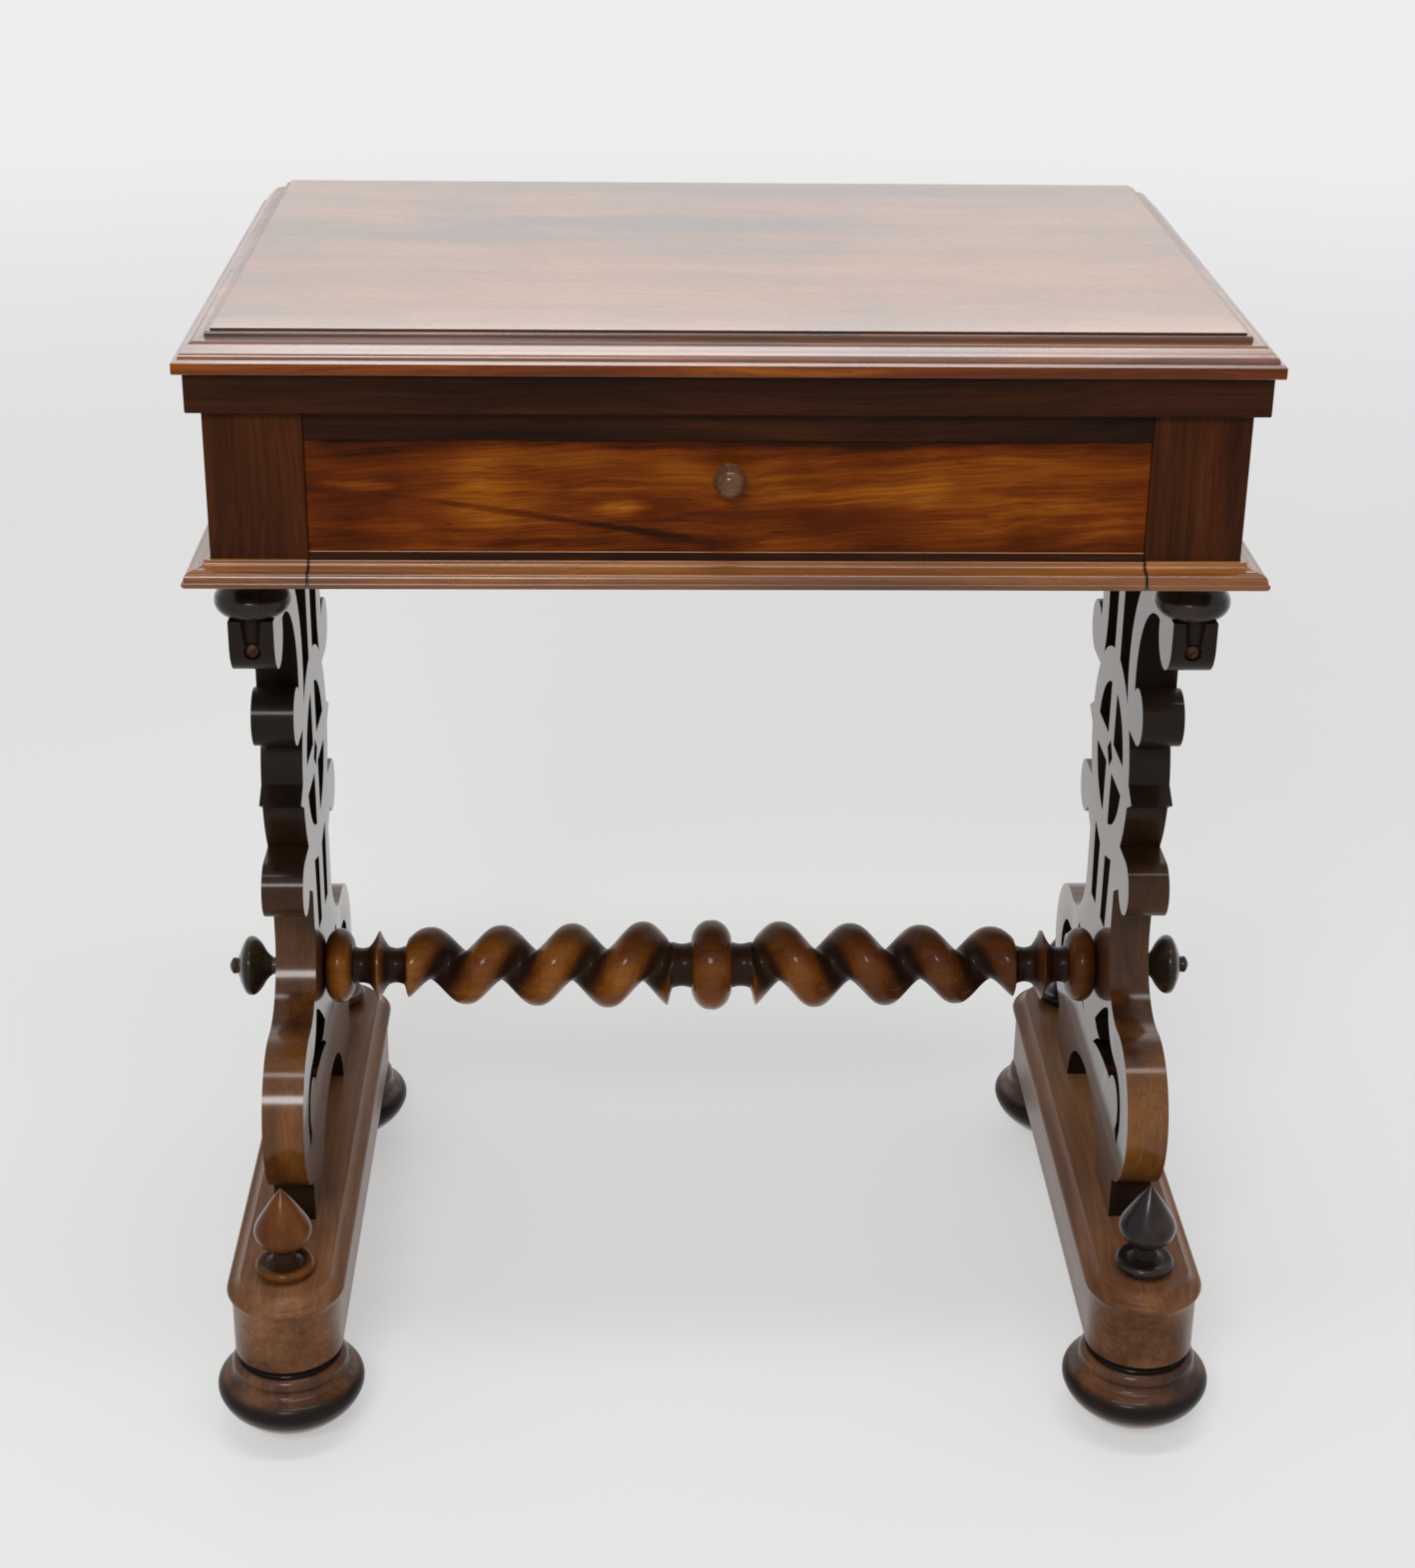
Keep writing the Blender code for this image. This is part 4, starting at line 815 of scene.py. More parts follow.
STILE = Timber("stile_timber", DARK, Grain.UP, SOFT, width=24.0, rings=0.08, shift=(0.2, 1.4, 0.6))
CASE_SIDE = Timber(
    "case_side_veneer", DARK, Grain.ALONG, SOFT, width=18.0, rings=0.08, shift=(0.8, 0.3, 0.2)
)
DRAWER_FACE = Timber(
    "drawer_face_veneer",
    RICH,
    Grain.ACROSS,
    SOFT,
    width=42.0,
    length=5.0,
    waver=0.006,
    rings=0.10,
    shift=(0.15, 0.0, 0.33),
    lean=(0.0, 0.05, 0.0),
    blotches=(
        Blotch((-0.095, -0.189, 0.615), (0.100, 0.1, 0.0028), -0.30, (0.0, 0.146, 0.0)),
        Blotch((-0.030, -0.189, 0.604), (0.040, 0.1, 0.0050), -0.18, (0.0, 0.20, 0.0)),
        Blotch((-0.110, -0.189, 0.601), (0.060, 0.1, 0.0050), -0.22),
        # Painted shadow: a darker band along the top of the drawer front, under the overhang above it
        Blotch((0.0, -0.189, 0.6596), (0.40, 0.1, 0.0060), -0.30),
        Blotch((-0.208, -0.189, 0.634), (0.024, 0.1, 0.0045), 0.40),
        Blotch((-0.130, -0.189, 0.633), (0.050, 0.1, 0.0050), 0.20),
        Blotch((-0.062, -0.189, 0.621), (0.022, 0.1, 0.0075), 0.40),
        Blotch((-0.190, -0.189, 0.609), (0.045, 0.1, 0.0050), 0.18),
        Blotch((0.110, -0.189, 0.627), (0.110, 0.1, 0.0120), 0.14),
    ),
)
MOULDING = Timber(
    "moulding_timber", HONEY, Grain.ACROSS, RUBBED, width=34.0, rings=0.05, shift=(0.4, 0.6, 0.1)
)
SIDE_MOULDING = Timber(
    "side_moulding_timber", HONEY, Grain.ALONG, RUBBED, width=34.0, rings=0.05, shift=(0.7, 0.2, 0.5)
)
UNDERSIDE = Timber("underside_timber", DARK, Grain.ACROSS, BARE, width=30.0, shift=(0.1, 0.9, 0.4))
KNOB = Timber("knob_timber", BROWN, Grain.ALONG, SHARP, width=60.0, shift=(0.2, 0.9, 0.3))
SUPPORT_FACE = Timber(
    "support_face_timber", BROWN, Grain.UP, EDGEWISE, width=24.0, shift=(0.9, 0.4, 0.0), darkening_share=0.3
)
SUPPORT_EDGE = Timber(
    "support_edge_timber",
    CHESTNUT,
    Grain.UP,
    GLOSSY,
    width=26.0,
    rings=0.05,
    shift=(0.1, 0.8, 0.3),
    # The painted shade on the edges darkens them to this colour and dims their polish
    shade=(0.006, 0.005, 0.004),
    dull=0.75,
)
TWIST = Timber(
    "twist_timber",
    TAWNY,
    Grain.ACROSS,
    TURNED,
    width=26.0,
    length=3.0,
    rings=0.02,
    fleck=0.25,
    shift=(0.6, 0.0, 0.2),
)
RUNNER = Timber(
    "runner_timber", UMBER, Grain.ALONG, WORN, width=26.0, rings=0.12, fleck=0.22, shift=(0.3, 0.5, 0.8)
)
FINIAL = Timber(
    "finial_timber", RUSSET, Grain.UP, TURNED, width=30.0, rings=0.03, fleck=0.15, shift=(0.5, 0.2, 0.9)
)
BRONZED = Timber(
    "bronzed_timber", BRONZE_BROWN, Grain.ACROSS, SATIN, width=50.0, rings=0.04, shift=(0.4, 0.1, 0.6)
)
BOSS = Timber("boss_timber", SMOKED, Grain.UP, LACQUER, width=50.0, rings=0.05, shift=(0.3, 0.2, 0.5))
BLACK = Timber(
    "blackened_timber", BLACKENED, Grain.UP, SATIN, width=50.0, rings=0.03, fleck=0.12, shift=(0.2, 0.3, 0.1)
)
FOOT = Timber(
    "foot_timber", BROWN, Grain.UP, SATIN, width=45.0, rings=0.06, fleck=0.2, shift=(0.6, 0.3, 0.7)
)
LINING = Timber("lining_wood", PALE, Grain.ALONG, BARE, width=35.0, shift=(0.3, 0.1, 0.2))
CROSS_LINING = Timber("cross_lining_wood", PALE, Grain.ACROSS, BARE, width=35.0, shift=(0.6, 0.5, 0.1))
BRASS = Metal("aged_brass", (0.620, 0.440, 0.170), (0.300, 0.200, 0.080), 0.28)
RUSTED = Metal("rusted_iron", (0.085, 0.045, 0.030), (0.040, 0.018, 0.011), 0.60)
IRON = Metal("dark_iron", (0.130, 0.120, 0.110), (0.060, 0.048, 0.042), 0.42)
BAIZE = Felt("green_baize", (0.020, 0.088, 0.032), (0.045, 0.130, 0.050))


# Meshes


class Blank:
    """A piece being worked: one bmesh and the operators that shape it."""

    MERGE = 0.000002
    CONE_SIDES = 32

    def __init__(self) -> None:
        """Starts with nothing."""
        self.bm = bmesh.new()

    def turn(self, profile: Sequence[Point], steps: int = 72) -> "Blank":
        """Turns a profile on the lathe, about +Z.

        Args:
            profile: Radius and height from the top of the axis down.
            steps: How many faces go round.

        Returns:
            The blank.
        """
        verts = [self.bm.verts.new((radius, 0.0, height)) for radius, height in profile]
        edges = [self.bm.edges.new(pair) for pair in zip(verts, verts[1:])]
        bmesh.ops.spin(
            self.bm,
            geom=verts + edges,
            cent=(0, 0, 0),
            axis=(0, 0, 1),
            dvec=(0, 0, 0),
            angle=2 * math.pi,
            steps=steps,
            use_merge=True,
        )
        return self

    def sweep(self, rings: Sequence[Sequence[Sequence[float]]]) -> "Blank":
        """Draws a closed outline out through a row of outlines and closes both ends.

        Args:
            rings: The outlines, each with as many points as the first.

        Returns:
            The blank.
        """
        made = bmesh.ops.create_circle(self.bm, cap_ends=False, segments=len(rings[0]), radius=1.0)
        ring = made["verts"]
        for vert, point in zip(ring, rings[0]):
            vert.co = point
        edges = [self.bm.edges.get(pair) for pair in zip(ring, ring[1:] + ring[:1])]
        for points in rings[1:]:
            drawn = bmesh.ops.extrude_edge_only(self.bm, edges=edges)["geom"]
            fresh = {item for item in drawn if isinstance(item, bmesh.types.BMVert)}
            step = {}
            for vert in fresh:
                others = (edge.other_vert(vert) for edge in vert.link_edges)
                step[next(other for other in others if other not in fresh)] = vert
            ring = [step[vert] for vert in ring]
            for vert, point in zip(ring, points):
                vert.co = point
            edges = [self.bm.edges.get(pair) for pair in zip(ring, ring[1:] + ring[:1])]
        bmesh.ops.holes_fill(self.bm, edges=self.bm.edges, sides=0)
        return self

    def saw(self, outlines: Sequence[Profile], thickness: float, arris: float) -> "Blank":
        """Saws a board to flat outlines in the YZ plane and eases its edges.

        Args:
            outlines: The edge and then the holes, as (out, up).
            thickness: The board's thickness along X.
            arris: How far the edges are rounded.

        Returns:
            The blank.
        """
        lines = []
        for outline in outlines:
            verts = [self.bm.verts.new((-thickness / 2, out, up)) for out, up in outline]
            lines += [self.bm.edges.new(pair) for pair in zip(verts, verts[1:] + verts[:1])]
        bmesh.ops.triangle_fill(self.bm, use_beauty=True, use_dissolve=False, edges=lines)
        drawn = bmesh.ops.extrude_face_region(self.bm, geom=self.bm.faces[:])["geom"]
        moved = [item for item in drawn if isinstance(item, bmesh.types.BMVert)]
        bmesh.ops.translate(self.bm, verts=moved, vec=(thickness, 0, 0))
        bmesh.ops.recalc_face_normals(self.bm, faces=self.bm.faces)
        rims = [e for e in self.bm.edges if len(e.link_faces) == 2 and self._is_rim(e)]
        bmesh.ops.bevel(
            self.bm,
            geom=rims,
            offset=arris,
            offset_type="OFFSET",
            segments=2,
            profile=0.5,
            affect="EDGES",
            clamp_overlap=True,
            material=-1,
        )
        return self

    @staticmethod
    def _is_rim(edge: bmesh.types.BMEdge) -> bool:
        """Whether an edge lies between a board's face and its sawn side."""
        flat = [abs(face.normal.x) > SQUARE for face in edge.link_faces]
        return flat[0] != flat[1]

    def block(self, low: Sequence[float], high: Sequence[float]) -> "Blank":
        """Adds a block between two corners.

        Args:
            low: Its lowest corner.
            high: Its highest corner.

        Returns:
            The blank.
        """
        size = [b - a for a, b in zip(low, high)]
        centre = [(a + b) / 2 for a, b in zip(low, high)]
        matrix = Matrix.Translation(centre) @ Matrix.Diagonal((*size, 1.0))
        bmesh.ops.create_cube(self.bm, size=1.0, matrix=matrix)
        return self

    def cone(self, low_radius: float, high_radius: float, length: float, matrix: Matrix) -> "Blank":
        """Adds a cone that stands on the origin along +Z.

        Args:
            low_radius: Its radius at the foot.
            high_radius: Its radius at the top.
            length: Its length.
            matrix: Where it is put.

        Returns:
            The blank.
        """
        up = Matrix.Translation((0, 0, length / 2))
        bmesh.ops.create_cone(
            self.bm,
            cap_ends=True,
            segments=self.CONE_SIDES,
            radius1=low_radius,
            radius2=high_radius,
            depth=length,
            matrix=matrix @ up,
        )
        return self

    def put(self, matrix: Matrix) -> "Blank":
        """Moves the whole blank to its place."""
        bmesh.ops.transform(self.bm, matrix=matrix, verts=self.bm.verts)
        return self

    def mesh(self, name: str) -> bpy.types.Mesh:
        """Ends the work.

        Args:
            name: The mesh's name.

        Returns:
            A closed mesh with its faces outwards.
        """
        bmesh.ops.remove_doubles(self.bm, verts=self.bm.verts, dist=self.MERGE)
        bmesh.ops.recalc_face_normals(self.bm, faces=self.bm.faces)
        mesh = bpy.data.meshes.new(name)
        self.bm.to_mesh(mesh)
        self.bm.free()
        return mesh


def carved(mesh: bpy.types.Mesh, cutter: Blank) -> bpy.types.Mesh:
    """Cuts a shape out of a mesh.

    Args:
        mesh: The mesh to cut.
        cutter: The shape to take away.

    Returns:
        A new mesh.
    """
    work = bpy.data.objects.new("work", mesh)
    tool = bpy.data.objects.new("tool", cutter.mesh("tool"))
    for item in (work, tool):
        bpy.context.scene.collection.objects.link(item)
    modifier = work.modifiers.new("carve", "BOOLEAN")
    modifier.operation = "DIFFERENCE"
    modifier.solver = "EXACT"
    modifier.object = tool
    bpy.context.view_layer.update()
    cut = bpy.data.meshes.new_from_object(work.evaluated_get(bpy.context.evaluated_depsgraph_get()))
    name, used = mesh.name, tool.data
    for item in (work, tool):
        bpy.data.objects.remove(item)
    for old in (mesh, used):
        bpy.data.meshes.remove(old)
    cut.name = name
    return cut


class Piece:
    """A finished piece of the table, in place and riding on its body."""

    CREASE = math.radians(38)
    # The attribute that marks how far each place is darkened, mostly with painted shade
    DARKENING_ATTRIBUTE = "hollow"

    def __init__(
        self,
        name: str,
        mesh: bpy.types.Mesh,
        finishes: Sequence[Finish],
        body: str,
        slot: str,
        crease: float = CREASE,
    ) -> None:
        """Makes the object.

        Args:
            name: The piece's name.
            mesh: Its mesh, in place.
            finishes: Its finishes, the first on every face.
            body: The body that it rides on.
            slot: The record's material slot; not used.
            crease: The turn between two faces from which the edge between them is sharp.
        """
        mesh.materials.clear()
        for finish in finishes:
            mesh.materials.append(finish.material())
        mesh.polygons.foreach_set("use_smooth", [True] * len(mesh.polygons))
        mesh.set_sharp_from_angle(angle=crease)
        self.mesh = mesh
        self.object = bpy.data.objects.new(name, mesh)
        bpy.context.scene.collection.objects.link(self.object)
        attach(self.object, body)
        LOG.info("piece %s: %d faces", name, len(mesh.polygons))

    def for_node(self, node: str) -> "Piece":
        """Lets the piece stand for a solid of the frame."""
        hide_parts(node)
        return self

    def mark_darkening(self, depth: Callable[[Vector], float]) -> "Piece":
        """Marks how far each place is darkened, mostly with painted shade in hollows, gaps and openings.

        Args:
            depth: From 0 to 1 at each place of the piece.

        Returns:
            The piece.
        """
        marks = self.mesh.attributes.new(self.DARKENING_ATTRIBUTE, "FLOAT", "POINT")
        marks.data.foreach_set("value", [depth(vert.co) for vert in self.mesh.vertices])
        return self

    def dress(self, index: int, chosen: Callable[[bpy.types.MeshPolygon], bool]) -> "Piece":
        """Gives chosen faces another of the piece's finishes.

        Args:
            index: Which finish.
            chosen: Says which faces take it.

        Returns:
            The piece.
        """
        for polygon in self.mesh.polygons:
            if chosen(polygon):
                polygon.material_index = index
        return self


def dress_nodes(finish: Finish, *nodes: str) -> None:
    """Gives solids of the frame a better finish.

    Args:
        finish: Their finish.
        nodes: The solids' names.
    """
    for node in nodes:
        materials = frame["nodes"][node].data.materials
        materials.clear()
        materials.append(finish.material())
        LOG.info("solid %s keeps its shape and takes %s", node, finish.name)


def screw_head(name: str, radius: float, rise: float, place: Matrix) -> bpy.types.Mesh:
    """A slotted screw head.

    Args:
        name: The mesh's name.
        radius: The head's radius.
        rise: How far its crown stands up.
        place: Where its seat is, with Z out of the surface.

    Returns:
        The mesh, in place.
    """
    dome = ((0.0, 1.0), (0.50, 0.88), (0.84, 0.52), (1.0, 0.0))
    head = Blank().turn([*flow(scaled(dome, radius, rise)), (0.0, 0.0)], Blank.CONE_SIDES).mesh(name)
    half, past = radius / 7, 2 * radius
    mesh = carved(head, Blank().block((-half, -past, rise / 3), (half, past, 2 * rise)))
    mesh.transform(place)
    return mesh


def middle_of(node: str) -> Vector:
    """The middle of a solid's box."""
    low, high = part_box(node)
    return (low + high) / 2


def foot_of(node: str) -> Vector:
    """The middle of the underside of a solid's box."""
    middle = middle_of(node)
    return Vector((middle.x, middle.y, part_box(node)[0].z))


# Sub-assemblies


@dataclass
class Top:
    """The two leaves with their linings, hinges and swivel bolt."""

    width: float = 0.600
    depth: float = 0.406
    thick: float = 0.021
    field_inset: float = 0.0195
    arris: float = 0.0006
    nose: float = 0.0014
    nose_top: float = 0.0078
    ledge_height: float = 0.0164
    ovolo: tuple[Point, ...] = (
        (0.0034, 0.0080),
        (0.0036, 0.0094),
        (0.0043, 0.0105),
        (0.0058, 0.0120),
        (0.0074, 0.0136),
        (0.0089, 0.0150),
        (0.0106, 0.0160),
        (0.0128, 0.0164),
    )
    step_out: float = 0.003
    step_drop: float = 0.0014
    bead: float = 0.0012
    # Painted shade on the recessed fillet and in the quirk under the field's step
    fillet_shade: float = 0.45
    step_shadow: float = 0.95
    lining_border: float = 0.037
    lining_back: float = 0.032
    lining_recess: float = 0.0012
    hinge_half: float = 0.0253
    hinge_out: float = 0.205
    plate_width: float = 0.0203
    plate_depth: float = 0.0017
    knuckle: float = 0.0034
    past: float = 0.01
    screw_radius: float = 0.0026
    screw_rise: float = 0.00018
    screws: tuple[Point, ...] = ((-0.017, 0.0075), (0.0, 0.0125), (0.017, 0.0075))

    def edge(self) -> Profile:
        """The upper leaf's moulded edge.

        Returns:
            Inset and height from its bottom arris up to the field.
        """
        profile = [(self.arris, 0.0), (0.0, self.arris), (0.0, self.nose_top - self.nose)]
        profile += [(self.nose, self.nose_top), (self.ovolo[0][0], self.nose_top), *flow(self.ovolo)]
        fillet = self.field_inset - self.step_out
        step = self.thick - self.step_drop
        profile += [(fillet, self.ledge_height + self.arris)]
        profile += arc((fillet + self.bead, step - self.bead), self.bead, 180, 90, 15)
        field = (self.field_inset, self.thick - self.arris / 2)
        return profile + [(self.field_inset, step), field, (self.field_inset + self.arris / 2, self.thick)]

    def build(self) -> None:
        """Makes the moulded leaf and dresses the rest."""
        low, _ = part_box("upper_leaf")
        back = self.depth / 2
        rings = []
        for inset, height in self.edge():
            side, front = self.width / 2 - inset, -back + inset
            outline = ((-side, front), (side, front), (side, back), (-side, back))
            rings.append([(x, y, low.z + height) for x, y in outline])
        leaf = Blank().sweep(rings).mesh("upper_leaf_moulded")
        for cutter in self._recesses(low.z, back):
            leaf = carved(leaf, cutter)
        finishes = (TOP_EDGE, TOP_FIELD, BAND, TOP_NOSE)
        piece = Piece(leaf.name, leaf, finishes, "flap", "rosewood").for_node("upper_leaf")
        field = low.z + self.thick - self.arris / 3
        nose = low.z + self.nose_top - self.nose
        # The band's timber comes last, as the whole hinged edge is of it
        piece.dress(1, lambda polygon: polygon.center.z > field)
        piece.dress(3, lambda polygon: polygon.center.z < nose and abs(polygon.normal.z) < 1 - SQUARE)
        piece.dress(2, lambda polygon: polygon.normal.z < -SQUARE or polygon.normal.y > SQUARE)
        piece.mark_darkening(lambda spot: self._quirk_shade(spot, spot.z - low.z))
        dress_nodes(BAND, "lower_leaf")
        for level in ("lower", "upper"):
            dress_nodes(BAIZE, f"baize_{level}")
            for side, sign in SIDES:
                dress_nodes(BRASS, f"hinge_{level}_{side}")
                self._hinge_screws(level, side, sign)
        dress_nodes(IRON, "pivot_bolt", "pivot_washer")

    def _hinge_screws(self, level: str, side: str, sign: int) -> None:
        """Puts the screws in a hinge plate.

        Args:
            level: The leaf that the plate is let into.
            side: The hinge's side.
            sign: That side's sign on X.
        """
        low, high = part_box(f"{level}_leaf")
        height, turn, body = (high.z, 0.0, "top") if level == "lower" else (low.z, math.pi, "flap")
        for number, (along, inward) in enumerate(self.screws, 1):
            seat = Matrix.Translation((sign * self.hinge_out + along, self.depth / 2 - inward, height))
            place = seat @ Matrix.Rotation(turn, 4, "X") @ Matrix.Rotation(number, 4, "Z")
            name = f"hinge_screw_{level}_{side}_{number}"
            mesh = screw_head(name, self.screw_radius, self.screw_rise, place)
            Piece(name, mesh, (BRASS,), body, "brass")

    def _quirk_shade(self, spot: Vector, height: float) -> float:
        """Painted shade: a dark line in the quirk under the field's step, and a darker recessed fillet.

        Args:
            spot: The place on the leaf.
            height: Its height over the leaf's underside.

        Returns:
            From 0 to 1.
        """
        inset = min(self.width / 2 - abs(spot.x), spot.y + self.depth / 2)
        step = self.thick - self.step_drop
        if abs(inset - self.field_inset) < self.arris / 4 and height > step - self.arris:
            return self.step_shadow
        on_fillet = self.ledge_height + self.arris / 2 < height < step - self.bead / 2
        return self.fillet_shade if on_fillet else 0.0

    def _recesses(self, bottom: float, back: float) -> list[Blank]:
        """What is let into the leaf's underside.

        Args:
            bottom: The height of that side.
            back: The place of the hinged edge.

        Returns:
            The shapes to cut away.
        """
        side = self.width / 2 - self.lining_border
        front = -back + self.lining_border
        under = bottom - self.past
        lining = (side, back - self.lining_back, bottom + self.lining_recess)
        cuts = [Blank().block((-side, front, under), lining)]
        for _, sign in SIDES:
            middle = sign * self.hinge_out
            for width, depth in ((self.plate_width, self.plate_depth), (self.knuckle, self.knuckle)):
                high = (middle + self.hinge_half, back + self.past, bottom + depth)
                cuts.append(Blank().block((middle - self.hinge_half, back - width, under), high))
        return cuts


@dataclass
class Case:
    """The case under the top and the moulding round its foot."""

    side: float = 0.2875
    front: float = 0.189
    opening: float = 0.233
    bottom: float = 0.5779
    seat: float = 0.0003
    joint: float = 0.0012
    # Painted shade in the joints beside the drawer
    joint_shade: float = 0.95
    out: float = 0.0145
    height: float = 0.0135
    arris: float = 0.0004
    under: float = 0.0112
    lip: float = 0.0011
    lip_height: float = 0.0030
    cove_out: float = 0.0086
    cove_height: float = 0.0096
    fillet: float = 0.0028
    fillet_height: float = 0.0124
    strip: float = 0.005

    def profile(self, with_strip: bool) -> Profile:
        """The moulding's section.

        Args:
            with_strip: Whether the drawer's strip stands over it.

        Returns:
            The section as (out, up), from the back of its foot round to the back of its head.
        """
        points = [(0.0, 0.0)] + bend((self.under, 0.0), (self.out, 0.0), (self.out, self.lip_height))
        lip = (self.out - self.lip, self.lip_height)
        points += arc(lip, self.lip, 0, 80, 16)
        quirk = (self.cove_out, self.cove_height - self.arris)
        points += bend((lip[0], self.lip_height + self.lip), (lip[0], quirk[1]), quirk)
        cove = (self.fillet, self.cove_height)
        points += bend((self.cove_out, self.cove_height), cove, (self.fillet, self.fillet_height))
        points += [(self.fillet, self.height - self.arris), (self.fillet - self.arris, self.height)]
        top = self.height
        if with_strip:
            lip_out = self.fillet / 2
            top += self.strip
            points += [(lip_out, self.height), (lip_out, top - self.arris), (lip_out - self.arris, top)]
        return points + [(0.0, top)]

    def length(
        self, name: str, span: Point, face: float, turn: float, mitres: tuple[int, int]
    ) -> bpy.types.Mesh:
        """One length of moulding.

        Args:
            name: The mesh's name.
            span: Where it starts and ends along the face.
            face: How far the face is from the middle.
            turn: The turn about Z that brings the front to that face.
            mitres: How each end leans outwards.

        Returns:
            The mesh, in place.
        """
        section = [(self.seat + out, up) for out, up in self.profile(name.startswith("drawer"))]
        rings = []
        for place, mitre, inward in zip(span, mitres, (1, -1)):
            steps = (self.seat,) if mitre else (self.seat, self.seat + self.joint)
            for slip in steps[::inward]:
                start = place + inward * slip
                rings.append([(start + mitre * out, -face - out, self.bottom + up) for out, up in section])
        return Blank().sweep(rings).put(Matrix.Rotation(turn, 4, "Z")).mesh(name)

    def painted_shade(self, spot: Vector) -> float:
        """Painted shade: a dark line in the gaps at the joints beside the drawer."""
        at_joint = spot.y < 0 and abs(abs(spot.x) - self.opening) < self.joint / 2
        return self.joint_shade if at_joint else 0.0

    @staticmethod
    def faces_down(polygon: bpy.types.MeshPolygon) -> bool:
        """Whether a face lies on the unpolished underside."""
        return polygon.normal.z < -SQUARE

    def build(self) -> None:
        """Makes the mouldings and dresses the carcase."""
        flank = (-self.front, self.front)
        lengths = (
            ("front_moulding_left", (-self.side, -self.opening), self.front, 0.0, (-1, 0), MOULDING),
            ("front_moulding_right", (self.opening, self.side), self.front, 0.0, (0, 1), MOULDING),
            ("side_moulding_right", flank, self.side, RIGHT_ANGLE, (-1, 1), SIDE_MOULDING),
            ("side_moulding_left", flank, self.side, -RIGHT_ANGLE, (-1, 1), SIDE_MOULDING),
            ("back_moulding", (-self.side, self.side), self.front, math.pi, (-1, 1), MOULDING),
        )
        for node, span, face, turn, mitres, finish in lengths:
            mesh = self.length(f"{node}_run", span, face, turn, mitres)
            piece = Piece(mesh.name, mesh, (finish, UNDERSIDE), "base", "rosewood").for_node(node)
            piece.mark_darkening(self.painted_shade).dress(1, self.faces_down)
        for side, _ in SIDES:
            dress_nodes(CASE_SIDE, f"case_side_{side}")
            dress_nodes(STILE, f"front_stile_{side}")
            dress_nodes(LINING, f"drawer_guide_{side}")
        dress_nodes(BAND, "case_back", "top_rail")
        dress_nodes(CROSS_LINING, "dust_board", "pivot_rail")


@dataclass
class Drawer:
    """The drawer with its figured front, moulding and knob."""

    knob_radius: float = 0.0092
    knob_length: float = 0.020
    knob_face: tuple[Point, ...] = (
        (0.0, 1.0),
        (0.30, 0.98),
        (0.58, 0.92),
        (0.82, 0.81),
        (0.97, 0.66),
        (1.0, 0.56),
        (0.92, 0.46),
        (0.66, 0.36),
    )
    knob_neck: tuple[Point, ...] = ((0.66, 0.36), (0.53, 0.24), (0.60, 0.10), (0.80, 0.0))
    case: Case = field(default_factory=Case)

    def build(self) -> None:
        """Makes the moulding and the knob and dresses the box."""
        span = (-self.case.opening, self.case.opening)
        mesh = self.case.length("drawer_moulding_run", span, self.case.front, 0.0, (0, 0))
        piece = Piece(mesh.name, mesh, (MOULDING, STRIP, UNDERSIDE), "drawer", "rosewood")
        piece.for_node("drawer_moulding").mark_darkening(self.case.painted_shade)
        strip_foot = self.case.bottom + self.case.height
        piece.dress(1, lambda polygon: polygon.center.z > strip_foot and polygon.normal.y < -SQUARE)
        piece.dress(2, self.case.faces_down)
        self._knob()
        dress_nodes(DRAWER_FACE, "drawer_front")
        dress_nodes(LINING, *(f"drawer_side_{side}" for side, _ in SIDES))
        dress_nodes(CROSS_LINING, "drawer_back", "drawer_bottom")

    def _knob(self) -> None:
        """The turned knob, its face to the front."""
        face = flow(scaled(self.knob_face, self.knob_radius, self.knob_length))
        neck = flow(scaled(self.knob_neck, self.knob_radius, self.knob_length))
        middle = middle_of("drawer_knob")
        foot = Matrix.Translation((middle.x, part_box("drawer_knob")[1].y, middle.z))
        place = foot @ Matrix.Rotation(RIGHT_ANGLE, 4, "X")
        mesh = Blank().turn([*face, *neck[1:], (0.0, 0.0)]).put(place).mesh("turned_drawer_knob")
        Piece(mesh.name, mesh, (KNOB,), "drawer", "rosewood").for_node("drawer_knob")


